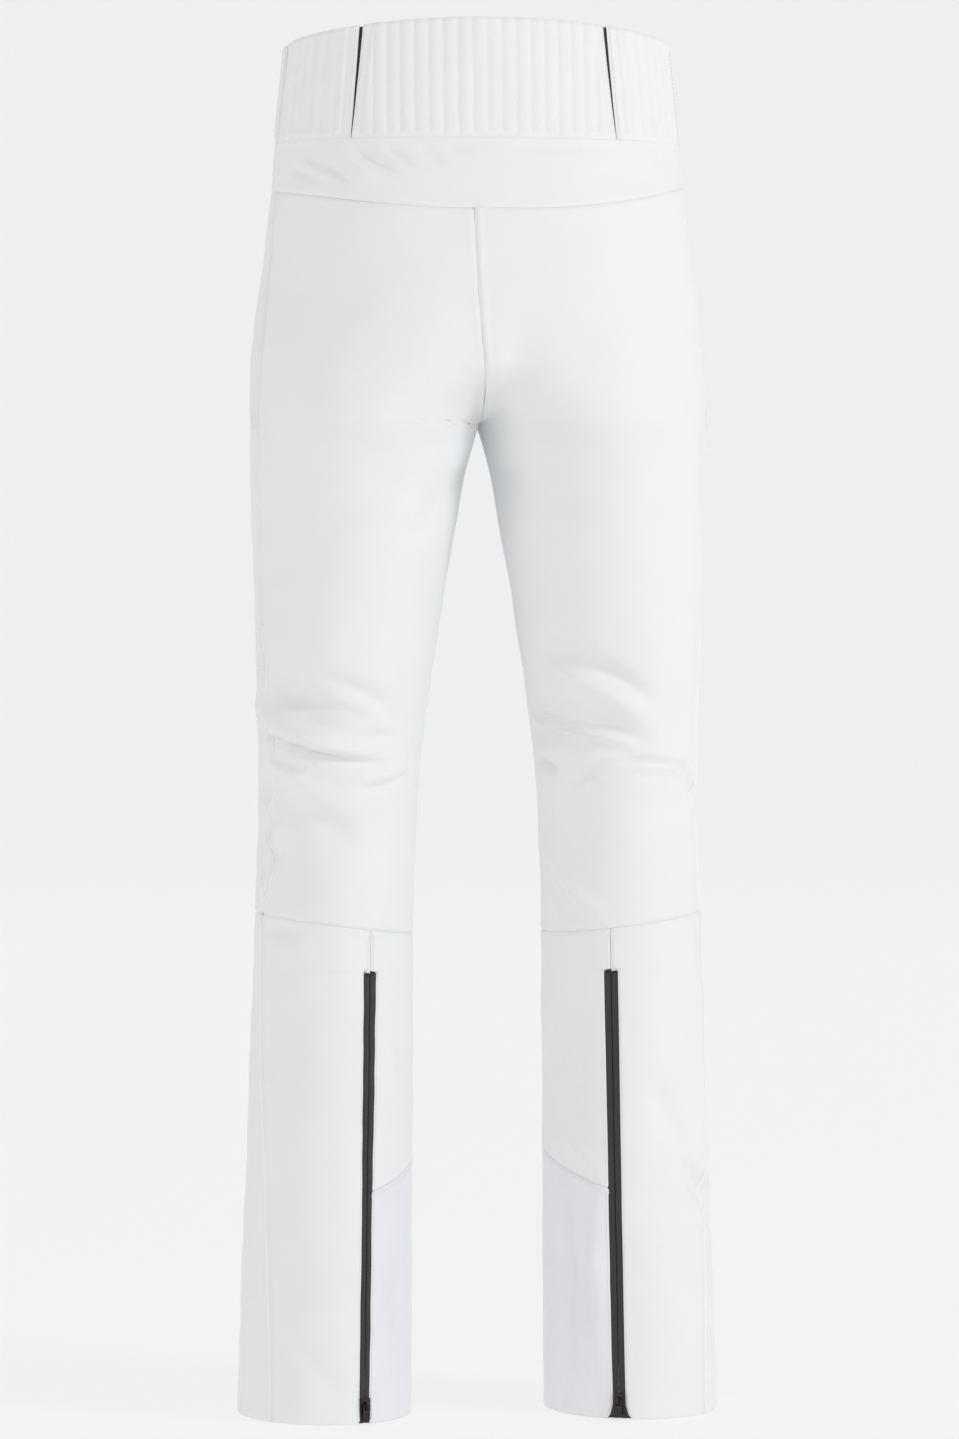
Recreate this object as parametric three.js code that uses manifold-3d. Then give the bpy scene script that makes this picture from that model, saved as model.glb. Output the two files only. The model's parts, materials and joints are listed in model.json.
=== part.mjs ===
// Stretch ski pants with calf zips, standing open on their two hems.
// Millimetres. +X is the wearer's left, +Y the back, +Z up. The origin is on the floor between the legs.
import * as THREE from 'three';
import { mergeVertices } from 'three/addons/utils/BufferGeometryUtils.js';
import Module from 'manifold-3d';

const wasm = await Module();
wasm.setup();
const { lerp, clamp, degToRad } = THREE.MathUtils;

// ---- driving dimensions -------------------------------------------------------------------

// Heights, each measured up from the seam below it
const shinLength = 387; // hem to calf seam
const kneeLength = 200; // calf seam to thigh seam
const thighLength = 193; // thigh seam to crotch
const hipLength = 182; // crotch to the yoke seam at the side
const yokeHeight = 38;
const waistbandHeight = 75;
const backWaistRise = 19; // extra height of the waistband at centre back
const backRiseCurve = 1.25; // above 1, more of that rise comes near the centre
const frontWaistDip = 6; // lost height of the waistband at centre front
const backYokeDrop = 17; // how far the yoke seam dips at centre back
const frontYokeDrop = 10;
const flyFootRise = 70; // crotch to the foot of the fly

// Half-section of one leg: x of its outer side and of its inseam, and its depth to front and back.
// Above the crotch the inseam value is negative, where the two halves would cross.
const hem = { outer: 192, inner: 54, front: 87.5, back: 87.5 };
const calf = { outer: 177, inner: 52 };
const knee = { outer: 174, inner: 47.5, front: 84, back: 78 };
const lowThigh = { outer: 176, inner: 37, front: 92, back: 88 };
const thigh = { outer: 179, inner: 18, front: 103, back: 101 };
const fork = { outer: 181, inner: 0, front: 110, back: 113 };
const seat = { outer: 180, inner: -60, back: 118 };
const hip = { outer: 174.5, inner: -103, back: 118 };
const yoke = { outer: 165, inner: -127, back: 110 };
const band = { outer: 161, inner: -145, back: 101 };
const waist = { outer: 153, inner: -153, front: 102, back: 95 };
const flyFootDepth = 116;

// Cloth and clearances
const cloth = 2; // shell fabric with its lining
const seamGap = 0.4; // between two pieces that are sewn together
const layerGap = 0.7; // between two layers that lie on each other
const liningThickness = 1.2;
const gaiterThickness = 1.1;

// Seams round the section, in degrees from the outer side towards the back
const sideSeamAngle = 6;
const backVentAngle = 50.5;
const calfZipAngle = 109;

// Waistband vents
const ventTopWidth = 4;
const ventFootWidth = 1;

// Zips
const zipOpening = 10.4; // between the two cloth edges
const calfZipLength = 352;
const coilGap = 1.8; // between the two coils
const coilWidth = 2;
const coilHeight = 1.6;
const tapeThickness = 1;
const tapeFoot = 1.5; // how far the zip's foot stands above the hem
const stopLength = 3;
const calfSliderFoot = 9.3; // the slider's foot above the hem with the zip closed
const runningGap = 0.35;

// Sliders and pulls
const slider = { length: 11, width: 8, backWidth: 7, plate: 1.4, backPlate: 1, neck: 1 };
const bail = { width: 2.4, wall: 1, opening: 3.2, height: 2.4 };
const pull = { length: 13.3, width: 6.4, thickness: 1, bar: 1.4, window: 3.3, windowWidth: 3.4 };

// Scuff guard on the inside of each ankle
const guardHeightAtInseam = 206;
const guardHeightAtZip = 177;

// Waist closure and fly
const tabRightEdge = -26;
const tabLeftEdge = 34;
const tabThickness = 1.3;
const tabFootRise = 6; // the tab's lower edge above the waistband's foot
const tabTopDrop = 5;
const flyGuardRight = -22;
const flyGuardLeft = 44;
const flyGuardStep = 24; // from here to its left edge the guard comes forward to its seam
const flyGuardDepth = 4.2;
const flySliderDrop = 6; // below the top of the fly zip, closed
const snapX = 18;
const snapCapRadius = 7.5;
const snapCapHeight = 1.8;
const snapStudRadius = 4.5;

// Snow gaiters and what is on them
const gaiterTopDrop = 8; // below the calf seam
const gaiterNeck = 27; // height over which the gaiter leaves the shell
const gaiterNeckInset = 5.5;
const gaiterFootInset = 14;
const elasticFoot = 40;
const elasticHeight = 26;
const hookWidth = 8;

// Hanger loops
const loopLength = 42;
const loopWidth = 14;
const ribbonWidth = 3;
const loopTopDrop = 6;

// ---- heights of the seams -----------------------------------------------------------------

const kneeShare = 0.55; // the knee's narrowest level, up the knee panel
const thighShare = 0.6;
const seatShare = 0.25;
const hipShare = 0.52;
const calfSeam = shinLength;
const kneeSeam = calfSeam + kneeLength;
const crotch = kneeSeam + thighLength;
const yokeSeam = crotch + hipLength;
const bandFoot = yokeSeam + yokeHeight;
const bandTop = bandFoot + waistbandHeight;
const flyFoot = crotch + flyFootRise;
const kneeLevel = calfSeam + kneeShare * kneeLength;
const thighLevel = kneeSeam + thighShare * thighLength;
const seatLevel = crotch + seatShare * hipLength;
const hipLevel = crotch + hipShare * hipLength;
const lowYoke = yokeSeam - backYokeDrop;

// ---- the body surface ---------------------------------------------------------------------

// Smooth curve through [height, value, straightAbove] knots. It never overshoots a knot.
function through(knots) {
  const rise = (i) => (knots[i + 1][1] - knots[i][1]) / (knots[i + 1][0] - knots[i][0]);
  const last = knots.length - 1;
  const slopes = knots.map((knot, i) => {
    if (knot[2] || i === 0) return rise(i);
    if (knots[i - 1][2] || i === last) return rise(i - 1);
    const product = rise(i - 1) * rise(i);
    return product > 0 ? (2 * product) / (rise(i - 1) + rise(i)) : 0;
  });
  return (z) => {
    if (z <= knots[0][0]) return knots[0][1] + (z - knots[0][0]) * slopes[0];
    if (z >= knots[last][0]) return knots[last][1] + (z - knots[last][0]) * slopes[last];
    const i = knots.findIndex((knot, k) => k < last && z < knots[k + 1][0]);
    const span = knots[i + 1][0] - knots[i][0];
    const t = (z - knots[i][0]) / span;
    const bend = t * (1 - t) * span;
    const ease = t * t * (3 - 2 * t);
    const swing = bend * ((1 - t) * slopes[i] - t * slopes[i + 1]);
    return lerp(knots[i][1], knots[i + 1][1], ease) + swing;
  };
}

// Below the calf seam every size runs straight and the depth keeps its ratio to the width,
// so a seam at one angle is a straight line there and its outward direction never turns.
const calfShare = (calf.outer - calf.inner) / (hem.outer - hem.inner);

const outerX = through([
  [0, hem.outer, true],
  [calfSeam, calf.outer],
  [kneeLevel, knee.outer],
  [kneeSeam, lowThigh.outer],
  [thighLevel, thigh.outer],
  [crotch, fork.outer],
  [seatLevel, seat.outer],
  [hipLevel, hip.outer],
  [lowYoke, yoke.outer],
  [bandFoot, band.outer],
  [bandTop, waist.outer],
]);

const legInseam = [
  [0, hem.inner, true],
  [calfSeam, calf.inner],
  [kneeLevel, knee.inner],
  [kneeSeam, lowThigh.inner],
  [thighLevel, thigh.inner],
  [crotch, fork.inner],
];

const innerBackX = through([
  ...legInseam,
  [seatLevel, seat.inner],
  [hipLevel, hip.inner],
  [lowYoke, yoke.inner],
  [bandFoot, band.inner],
  [bandTop, waist.inner],
]);

const forkShare = 0.4; // the front rounds out quickly above the crotch
const frontFork = through([
  ...legInseam,
  [lerp(crotch, flyFoot, forkShare), -fork.outer / 2],
  [flyFoot, -outerX(flyFoot)],
]);
const innerFrontX = (z) => (z < flyFoot ? frontFork(z) : -outerX(z));

const backDepth = through([
  [0, hem.back, true],
  [calfSeam, hem.back * calfShare],
  [kneeLevel, knee.back],
  [kneeSeam, lowThigh.back],
  [thighLevel, thigh.back],
  [crotch, fork.back],
  [seatLevel, seat.back],
  [hipLevel, hip.back],
  [lowYoke, yoke.back],
  [bandFoot, band.back],
  [bandTop, waist.back],
]);

const frontDepth = through([
  [0, hem.front, true],
  [calfSeam, hem.front * calfShare],
  [kneeLevel, knee.front],
  [kneeSeam, lowThigh.front],
  [thighLevel, thigh.front],
  [crotch, fork.front],
  [flyFoot, flyFootDepth, true],
  [bandTop, waist.front],
]);

// Centre and half-sizes of the half-section at one height, shrunk by inset
function section(z, isBack, inset) {
  const outer = outerX(z);
  const inner = isBack ? innerBackX(z) : innerFrontX(z);
  const depth = isBack ? backDepth(z) : frontDepth(z);
  return { centre: (outer + inner) / 2, a: (outer - inner) / 2 - inset, b: depth - inset };
}

// Point of the wearer's left half at an angle from its outer side: positive angles are the back
function skin(angle, z, inset = 0) {
  const { centre, a, b } = section(z, angle >= 0, inset);
  return new THREE.Vector3(centre + a * Math.cos(angle), b * Math.sin(angle), z);
}

// Angle at which the section reaches a given x, near the centre seam
function angleAtX(x, z, isBack, inset) {
  const { centre, a } = section(z, isBack, inset);
  const angle = Math.acos(clamp((x - centre) / a, -1, 1));
  return isBack ? angle : -angle;
}

// Angle of the centre seam above the crotch and of the inseam below it, short of it by half a gap
function centreAngle(z, isBack, inset) {
  const { b } = section(z, isBack, inset);
  const inseam = Math.PI - seamGap / 2 / b;
  const atCentre = angleAtX(seamGap / 2, z, isBack, inset);
  return isBack ? Math.min(inseam, atCentre) : Math.max(-inseam, atCentre);
}

// Angle short of or past a seam angle by a distance along the cloth
function besideSeam(seamAngle, distance, z) {
  const { a, b } = section(z, seamAngle >= 0, 0);
  return seamAngle + distance / Math.hypot(a * Math.sin(seamAngle), b * Math.cos(seamAngle));
}

// ---- seam curves, each giving the height of a seam near a point of the surface --------------

function share(point) {
  const depth = point.y > 0 ? backDepth(point.z) : frontDepth(point.z);
  return clamp(Math.abs(point.y) / depth, 0, 1);
}

const topEdge = (p) =>
  bandTop + (p.y > 0 ? backWaistRise * share(p) ** backRiseCurve : -frontWaistDip * share(p) ** 2);
const yokeCurve = (p) => yokeSeam - (p.y > 0 ? backYokeDrop : frontYokeDrop) * share(p) ** 2;
const level = (z) => () => z;
const above = (curve) => (p) => curve(p) + seamGap / 2;
const below = (curve) => (p) => curve(p) - seamGap / 2;

// Rows of heights from one curve to another
function rowsBetween(low, high, count) {
  return Array.from({ length: count + 1 }, (_, k) => (p) => lerp(low(p), high(p), k / count));
}

// ---- making sheets ------------------------------------------------------------------------

// Height of a row where it meets one column of a sheet
function heightOn(row, place, s) {
  let z = row(place(s, bandFoot, 0));
  for (let pass = 0; pass < 8; pass++) z = row(place(s, z, 0));
  return z;
}

// A sheet of cloth: a grid on its outer face, the same grid on its inner face, and rims.
// place(s, z, inset) gives a point, s runs from 0 to 1 anticlockwise seen from above.
function sheet({ place, rows, across, outside = 0, thickness = cloth, ring = false }) {
  const columns = ring ? across : across + 1;
  const heights = rows.map((row) => Array.from({ length: columns }, (_, i) => heightOn(row, place, i / across)));
  const positions = [];
  for (const inset of [outside, outside + thickness]) {
    for (const line of heights) {
      line.forEach((z, i) => positions.push(...place(i / across, z, inset)));
    }
  }
  const at = (layer, row, column) => (layer * rows.length + row) * columns + (column % columns);
  const index = [];
  const quad = (a, b, c, d) => index.push(a, b, c, a, c, d);
  const top = rows.length - 1;
  for (let i = 0; i < across; i++) {
    for (let j = 0; j < top; j++) {
      quad(at(0, j, i), at(0, j, i + 1), at(0, j + 1, i + 1), at(0, j + 1, i));
      quad(at(1, j, i), at(1, j + 1, i), at(1, j + 1, i + 1), at(1, j, i + 1));
    }
    quad(at(0, 0, i), at(1, 0, i), at(1, 0, i + 1), at(0, 0, i + 1));
    quad(at(0, top, i), at(0, top, i + 1), at(1, top, i + 1), at(1, top, i));
  }
  for (let j = 0; j < top && !ring; j++) {
    quad(at(0, j, 0), at(0, j + 1, 0), at(1, j + 1, 0), at(1, j, 0));
    quad(at(0, j, across), at(1, j, across), at(1, j + 1, across), at(0, j + 1, across));
  }
  const geometry = new THREE.BufferGeometry();
  geometry.setAttribute('position', new THREE.Float32BufferAttribute(positions, 3));
  geometry.setIndex(index);
  geometry.computeVertexNormals();
  return geometry;
}

// Between two angle functions on the wearer's left half
const between = (from, to) => (s, z, inset) => skin(lerp(from(z, inset), to(z, inset), s), z, inset);

// Across the centre back, from an angle on the left half to one on the right half
function acrossBack(left, right) {
  return (s, z, inset) => {
    const centre = angleAtX(0, z, true, inset);
    const isLeft = s < 0.5;
    const edge = isLeft ? left(z, inset) : right(z, inset);
    const point = skin(lerp(edge, centre, isLeft ? 2 * s : 2 - 2 * s), z, inset);
    return isLeft ? point : point.setX(-point.x);
  };
}

// Across the centre front above the foot of the fly, between two values of x
function acrossFront(right, left, extraInset = () => 0) {
  return (s, z, inset) => {
    const x = lerp(right, left, s);
    const depth = inset + extraInset(x);
    const { a, b } = section(z, false, depth);
    return new THREE.Vector3(x, -b * Math.sqrt(1 - (x / a) ** 2), z);
  };
}

// The same piece for the wearer's right
function mirrored(geometry) {
  const copy = geometry.clone().scale(-1, 1, 1);
  copy.index.array.reverse();
  copy.computeVertexNormals();
  return copy;
}

// ---- joining and placing rigid pieces -------------------------------------------------------

function toSolid(geometry) {
  const bare = geometry.clone();
  bare.deleteAttribute('normal');
  bare.deleteAttribute('uv');
  const merged = mergeVertices(bare, 1e-4);
  const vertProperties = new Float32Array(merged.attributes.position.array);
  const triVerts = new Uint32Array(merged.index.array);
  return new wasm.Manifold(new wasm.Mesh({ numProp: 3, vertProperties, triVerts }));
}

function joined(geometries) {
  const mesh = geometries.map(toSolid).reduce((sum, solid) => sum.add(solid)).getMesh();
  const geometry = new THREE.BufferGeometry();
  geometry.setAttribute('position', new THREE.Float32BufferAttribute(mesh.vertProperties, 3));
  geometry.setIndex(Array.from(mesh.triVerts));
  geometry.computeVertexNormals();
  return geometry;
}

// A bar given by its two ends along x, y and z
function bar([x0, x1], [y0, y1], [z0, z1]) {
  const geometry = new THREE.BoxGeometry(x1 - x0, y1 - y0, z1 - z0);
  return geometry.translate((x0 + x1) / 2, (y0 + y1) / 2, (z0 + z1) / 2);
}

// A plate drawn in the frame's y and z, with its thickness centred along x
function plate(shape, thickness) {
  const geometry = new THREE.ExtrudeGeometry(shape, { depth: thickness, bevelEnabled: false, curveSegments: 4 });
  geometry.translate(0, 0, -thickness / 2);
  const turn = new THREE.Matrix4().makeBasis(
    new THREE.Vector3(0, 1, 0),
    new THREE.Vector3(0, 0, 1),
    new THREE.Vector3(1, 0, 0),
  );
  return geometry.applyMatrix4(turn);
}

// A group whose z runs from foot to top, whose x points out of the cloth and whose y runs along it
function lineFrame(foot, top, along) {
  const rise = top.clone().sub(foot);
  const length = rise.length();
  rise.normalize();
  const sideways = along.clone().addScaledVector(rise, -along.dot(rise)).normalize();
  const out = sideways.clone().cross(rise);
  const frame = new THREE.Group();
  frame.quaternion.setFromRotationMatrix(new THREE.Matrix4().makeBasis(out, sideways, rise));
  frame.position.copy(foot);
  return { frame, length };
}

const group = new THREE.Group();
const finishes = {
  shell: { color: 0xeeeef0, roughness: 0.75, metalness: 0 },
  rib: { color: 0xe9e9ec, roughness: 0.8, metalness: 0 },
  guard: { color: 0xe4e6ea, roughness: 0.6, metalness: 0 },
  lining: { color: 0xd9d9dc, roughness: 0.85, metalness: 0 },
  elastic: { color: 0xdedee0, roughness: 0.7, metalness: 0 },
  mesh: { color: 0x202124, roughness: 0.9, metalness: 0 },
  tape: { color: 0x232327, roughness: 0.85, metalness: 0 },
  coil: { color: 0x1b1b1e, roughness: 0.45, metalness: 0 },
  metal: { color: 0x2a2a2e, roughness: 0.35, metalness: 0.8 },
  steel: { color: 0xb9bbbf, roughness: 0.3, metalness: 1 },
};

function add(name, geometry, finish, parent = group) {
  const mesh = new THREE.Mesh(geometry, new THREE.MeshStandardMaterial(finishes[finish]));
  mesh.name = name;
  parent.add(mesh);
  return mesh;
}

function addPair(name, geometry, finish) {
  add(`${name}_left`, geometry, finish);
  add(`${name}_right`, mirrored(geometry), finish);
}

// ---- angles that several pieces share -------------------------------------------------------

const sideSeam = degToRad(sideSeamAngle);
const backVent = degToRad(backVentAngle);
const calfZip = degToRad(calfZipAngle);
const beforeSide = (z) => besideSeam(sideSeam, -seamGap / 2, z);
const afterSide = (z) => besideSeam(sideSeam, seamGap / 2, z);
const backCentre = (z, inset) => centreAngle(z, true, inset);
const frontCentre = (z, inset) => centreAngle(z, false, inset);
const frontEdge = (x) => (z, inset) => angleAtX(x, z, false, inset);

// ---- leg and body panels --------------------------------------------------------------------

const zipTaper = 4; // height over which the cloth edges close above the zip
const zipShut = calfZipLength + zipTaper;
const edgeFromZip = (z) => lerp(seamGap / 2, zipOpening / 2, clamp((zipShut - z) / zipTaper, 0, 1));
const outerZipEdge = (z) => besideSeam(calfZip, -edgeFromZip(z), z);
const innerZipEdge = (z) => besideSeam(calfZip, edgeFromZip(z), z);

function guardTop(point) {
  const { centre, a } = section(point.z, true, 0);
  const angle = Math.acos(clamp((point.x - centre) / a, -1, 1));
  const t = clamp((angle - calfZip) / (Math.PI - calfZip), 0, 1);
  return lerp(guardHeightAtZip, guardHeightAtInseam, t);
}

// The front edge closes on the fly zip above its foot, and on the centre seam below it
function flyEdge(z, inset) {
  const open = clamp((z - flyFoot) / zipTaper, 0, 1);
  const onZip = angleAtX(zipOpening / 2, z, false, inset);
  return lerp(frontCentre(z, inset), onZip, open);
}

function addLegPanels() {
  const seatRows = [
    ...rowsBetween(level(calfSeam + seamGap / 2), level(crotch), 10),
    ...rowsBetween(level(crotch), below(yokeCurve), 8).slice(1),
  ];
  addPair('seat', sheet({ place: between(afterSide, backCentre), rows: seatRows, across: 14 }), 'shell');

  const front = between(flyEdge, beforeSide);
  const thighRows = [
    ...rowsBetween(level(kneeSeam + seamGap / 2), level(crotch), 4),
    ...rowsBetween(level(crotch), level(flyFoot), 6).slice(1),
    ...rowsBetween(level(flyFoot + zipTaper), below(yokeCurve), 2),
  ];
  addPair('front_thigh', sheet({ place: front, rows: thighRows, across: 16 }), 'shell');

  const kneeRows = rowsBetween(level(calfSeam + seamGap / 2), level(kneeSeam - seamGap / 2), 5);
  addPair('knee', sheet({ place: front, rows: kneeRows, across: 14 }), 'shell');

  const shinRows = [level(0), level(calfSeam - seamGap / 2)];
  addPair('shin', sheet({ place: front, rows: shinRows, across: 14 }), 'shell');
}

function addCalfPanels() {
  const upper = [level(calfZipLength), level(zipShut), level(calfSeam - seamGap / 2)];
  const outer = between(afterSide, outerZipEdge);
  addPair('calf_outer', sheet({ place: outer, rows: [level(0), ...upper], across: 10 }), 'shell');
  const inner = between(innerZipEdge, backCentre);
  addPair('calf_inner', sheet({ place: inner, rows: [above(guardTop), ...upper], across: 8 }), 'shell');
  addPair('scuff_guard', sheet({ place: inner, rows: [level(0), below(guardTop)], across: 8 }), 'guard');
}

// ---- yoke, waistband, vents and facing --------------------------------------------------------

const ventHalf = (z) => lerp(ventFootWidth, ventTopWidth, clamp((z - bandFoot) / waistbandHeight, 0, 1)) / 2;
const ventSide = (angle, sign, gap) => (z) => besideSeam(angle, sign * (ventHalf(z) + gap), z);

function addYoke() {
  const rows = rowsBetween(above(yokeCurve), level(bandFoot - seamGap / 2), 1);
  add('yoke_back', sheet({ place: acrossBack(afterSide, afterSide), rows, across: 24 }), 'shell');
  addPair('yoke_front', sheet({ place: between(flyEdge, beforeSide), rows, across: 12 }), 'shell');
}

function addWaistband() {
  const rows = rowsBetween(level(bandFoot + seamGap / 2), topEdge, 2);
  const piece = (place, across) => sheet({ place, rows, across });
  const vent = (angle) => between(ventSide(angle, -1, 0), ventSide(angle, 1, 0));
  const afterBackVent = ventSide(backVent, 1, seamGap);
  const beforeSideVent = ventSide(sideSeam, -1, seamGap);
  add('waistband_back', piece(acrossBack(afterBackVent, afterBackVent), 12), 'rib');
  addPair('waistband_side', piece(between(ventSide(sideSeam, 1, seamGap), ventSide(backVent, -1, seamGap)), 6), 'rib');
  const leftFront = piece(between(frontEdge(tabLeftEdge + seamGap), beforeSideVent), 10);
  add('waistband_front_left', leftFront, 'rib');
  const rightFront = piece(between(frontEdge(-tabRightEdge + seamGap), beforeSideVent), 10);
  add('waistband_front_right', mirrored(rightFront), 'rib');
  addPair('vent_back', piece(vent(backVent), 1), 'mesh');
  addPair('vent_side', piece(vent(sideSeam), 1), 'mesh');
}

const facingInset = cloth + layerGap;

function addFacing() {
  const rows = rowsBetween(level(bandFoot + seamGap / 2), (p) => topEdge(p) - seamGap, 2);
  const place = acrossBack(frontEdge(flyGuardLeft + seamGap), frontEdge(-flyGuardRight + seamGap));
  const facing = sheet({ place, rows, across: 48, outside: facingInset, thickness: liningThickness });
  add('waist_facing', facing, 'lining');
}

function addHangerLoops() {
  const inset = facingInset + liningThickness + layerGap;
  const foot = skin(0, bandTop - loopTopDrop - loopLength, inset);
  const top = skin(0, bandTop - loopTopDrop, inset);
  for (const [name, side] of [['left', 1], ['right', -1]]) {
    const mirror = new THREE.Vector3(side, 1, 1);
    const along = new THREE.Vector3(0, side, 0);
    const { frame, length } = lineFrame(foot.clone().multiply(mirror), top.clone().multiply(mirror), along);
    const outline = roundedOutline(loopWidth, length);
    outline.holes.push(roundedOutline(loopWidth - 2 * ribbonWidth, length - 2 * ribbonWidth, ribbonWidth));
    const loop = add(`hanger_loop_${name}`, plate(outline, liningThickness), 'lining', frame);
    loop.position.x = -liningThickness / 2;
    group.add(frame);
  }
}

// A strip with round ends, standing on z = foot
function roundedOutline(width, height, foot = 0) {
  const half = width / 2;
  const shape = new THREE.Shape();
  shape.absarc(0, foot + height - half, half, 0, Math.PI, false);
  shape.absarc(0, foot + half, half, Math.PI, 2 * Math.PI, false);
  return shape;
}

// ---- zips -----------------------------------------------------------------------------------

const coilOuterEdge = coilGap / 2 + coilWidth;
const tapeInnerEdge = coilOuterEdge + runningGap;
const tapeOuterEdge = zipOpening / 2 - runningGap;
const coilOut = -0.1; // the coils lie just under the cloth's outer face

// One side of a zip: its tape beside its coil. sign is the side of the line along the cloth.
function addZipSide(frame, tapeName, coilName, sign, [foot, top]) {
  const side = (from, to) => (sign > 0 ? [from, to] : [-to, -from]);
  const coilMiddle = coilOut - coilHeight / 2;
  const tapeDepth = [coilMiddle - tapeThickness / 2, coilMiddle + tapeThickness / 2];
  const coilDepth = [coilOut - coilHeight, coilOut];
  add(tapeName, bar(tapeDepth, side(tapeInnerEdge, tapeOuterEdge), [foot, top]), 'tape', frame);
  add(coilName, bar(coilDepth, side(coilGap / 2, coilOuterEdge), [foot, top]), 'coil', frame);
}

function addStop(frame, name, foot) {
  const depth = [coilOut - coilHeight, coilOut];
  add(name, bar(depth, [-coilOuterEdge, coilOuterEdge], [foot, foot + stopLength]), 'metal', frame);
}

// Two plates joined by a neck between the coils, with a bail on the front plate
function sliderGeometry() {
  const front = coilOut + runningGap;
  const back = coilOut - coilHeight - runningGap;
  const run = [0, slider.length];
  const across = (width) => [-width / 2, width / 2];
  const middle = slider.length / 2;
  const crown = front + slider.plate;
  const postTop = crown + bail.height + bail.wall;
  const half = bail.opening / 2;
  const sink = 0.2; // how far the posts start inside the plate
  return joined([
    bar([front, crown], across(slider.width), run),
    bar([back - slider.backPlate, back], across(slider.backWidth), run),
    bar([back - slider.backPlate / 2, front + slider.plate / 2], across(slider.neck), run),
    bar([crown - sink, postTop], across(bail.width), [middle - half - bail.wall, middle - half]),
    bar([crown - sink, postTop], across(bail.width), [middle + half, middle + half + bail.wall]),
    bar([crown + bail.height, postTop], across(bail.width), [middle - half - sink, middle + half + sink]),
  ]);
}

// A tab with a window near its top, drawn about the middle of the bar that hangs in the bail
function pullGeometry() {
  const half = pull.width / 2;
  const shape = new THREE.Shape();
  shape.moveTo(-half, pull.bar / 2);
  shape.lineTo(-half, half - pull.length);
  shape.absarc(0, half - pull.length, half, Math.PI, 2 * Math.PI, false);
  shape.lineTo(half, pull.bar / 2);
  shape.closePath();
  const window = new THREE.Path();
  window.moveTo(-pull.windowWidth / 2, -pull.bar / 2);
  window.lineTo(pull.windowWidth / 2, -pull.bar / 2);
  window.lineTo(pull.windowWidth / 2, -pull.bar / 2 - pull.window);
  window.lineTo(-pull.windowWidth / 2, -pull.bar / 2 - pull.window);
  window.closePath();
  shape.holes.push(window);
  return plate(shape, pull.thickness);
}

function addSlider(frame, sliderName, pullName, foot) {
  add(sliderName, sliderGeometry(), 'metal', frame).position.z = foot;
  const tab = add(pullName, pullGeometry(), 'metal', frame);
  tab.position.x = coilOut + runningGap + slider.plate + bail.height / 2;
  tab.position.z = foot + slider.length / 2;
}

function addCalfZip(name, side) {
  const mirror = new THREE.Vector3(side, 1, 1);
  const at = (angle, z) => skin(angle, z).multiply(mirror);
  const step = 0.01;
  const along = at(calfZip + step, 0).sub(at(calfZip - step, 0)).multiplyScalar(side);
  const { frame, length } = lineFrame(at(calfZip, 0), at(calfZip, calfZipLength), along);
  const stopFoot = length - stopLength;
  const run = [tapeFoot, stopFoot - runningGap];
  addZipSide(frame, `calf_tape_outer_${name}`, `calf_coil_outer_${name}`, -side, run);
  addZipSide(frame, `calf_tape_inner_${name}`, `calf_coil_inner_${name}`, side, run);
  addStop(frame, `calf_zip_stop_${name}`, stopFoot);
  addSlider(frame, `calf_slider_${name}`, `calf_pull_${name}`, calfSliderFoot);
  frame.name = `calf_zip_frame_${name}`;
  group.add(frame);
}

function addFlyZip() {
  const atCentre = (z) => new THREE.Vector3(0, -frontDepth(z), z);
  const foot = flyFoot + zipTaper;
  const { frame, length } = lineFrame(atCentre(foot), atCentre(bandFoot), new THREE.Vector3(1, 0, 0));
  const run = [stopLength + 2 * runningGap, length];
  addZipSide(frame, 'fly_tape_left', 'fly_coil_left', 1, run);
  addZipSide(frame, 'fly_tape_right', 'fly_coil_right', -1, run);
  addStop(frame, 'fly_stop', runningGap);
  addSlider(frame, 'fly_slider', 'fly_pull', length - flySliderDrop - slider.length);
  frame.name = 'fly_zip_frame';
  group.add(frame);
}

// ---- waist closure --------------------------------------------------------------------------

// The guard lies well behind the fly zip and comes forward to its seam on the wearer's left
function guardInset(x) {
  const t = clamp((x - flyGuardStep) / (tabLeftEdge - flyGuardStep), 0, 1);
  return lerp(flyGuardDepth, cloth + layerGap, t);
}

function addFlyGuard() {
  const rows = rowsBetween(level(flyFoot + zipTaper), (p) => topEdge(p) - tabTopDrop, 3);
  const place = acrossFront(flyGuardRight, flyGuardLeft, guardInset);
  add('fly_guard', sheet({ place, rows, across: 12, thickness: liningThickness }), 'lining');
}

function addWaistTab() {
  const rows = rowsBetween(level(bandFoot + tabFootRise), (p) => topEdge(p) - tabTopDrop, 1);
  const place = acrossFront(tabRightEdge, tabLeftEdge);
  add('waist_tab', sheet({ place, rows, across: 8, thickness: tabThickness }), 'shell');
}

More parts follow.
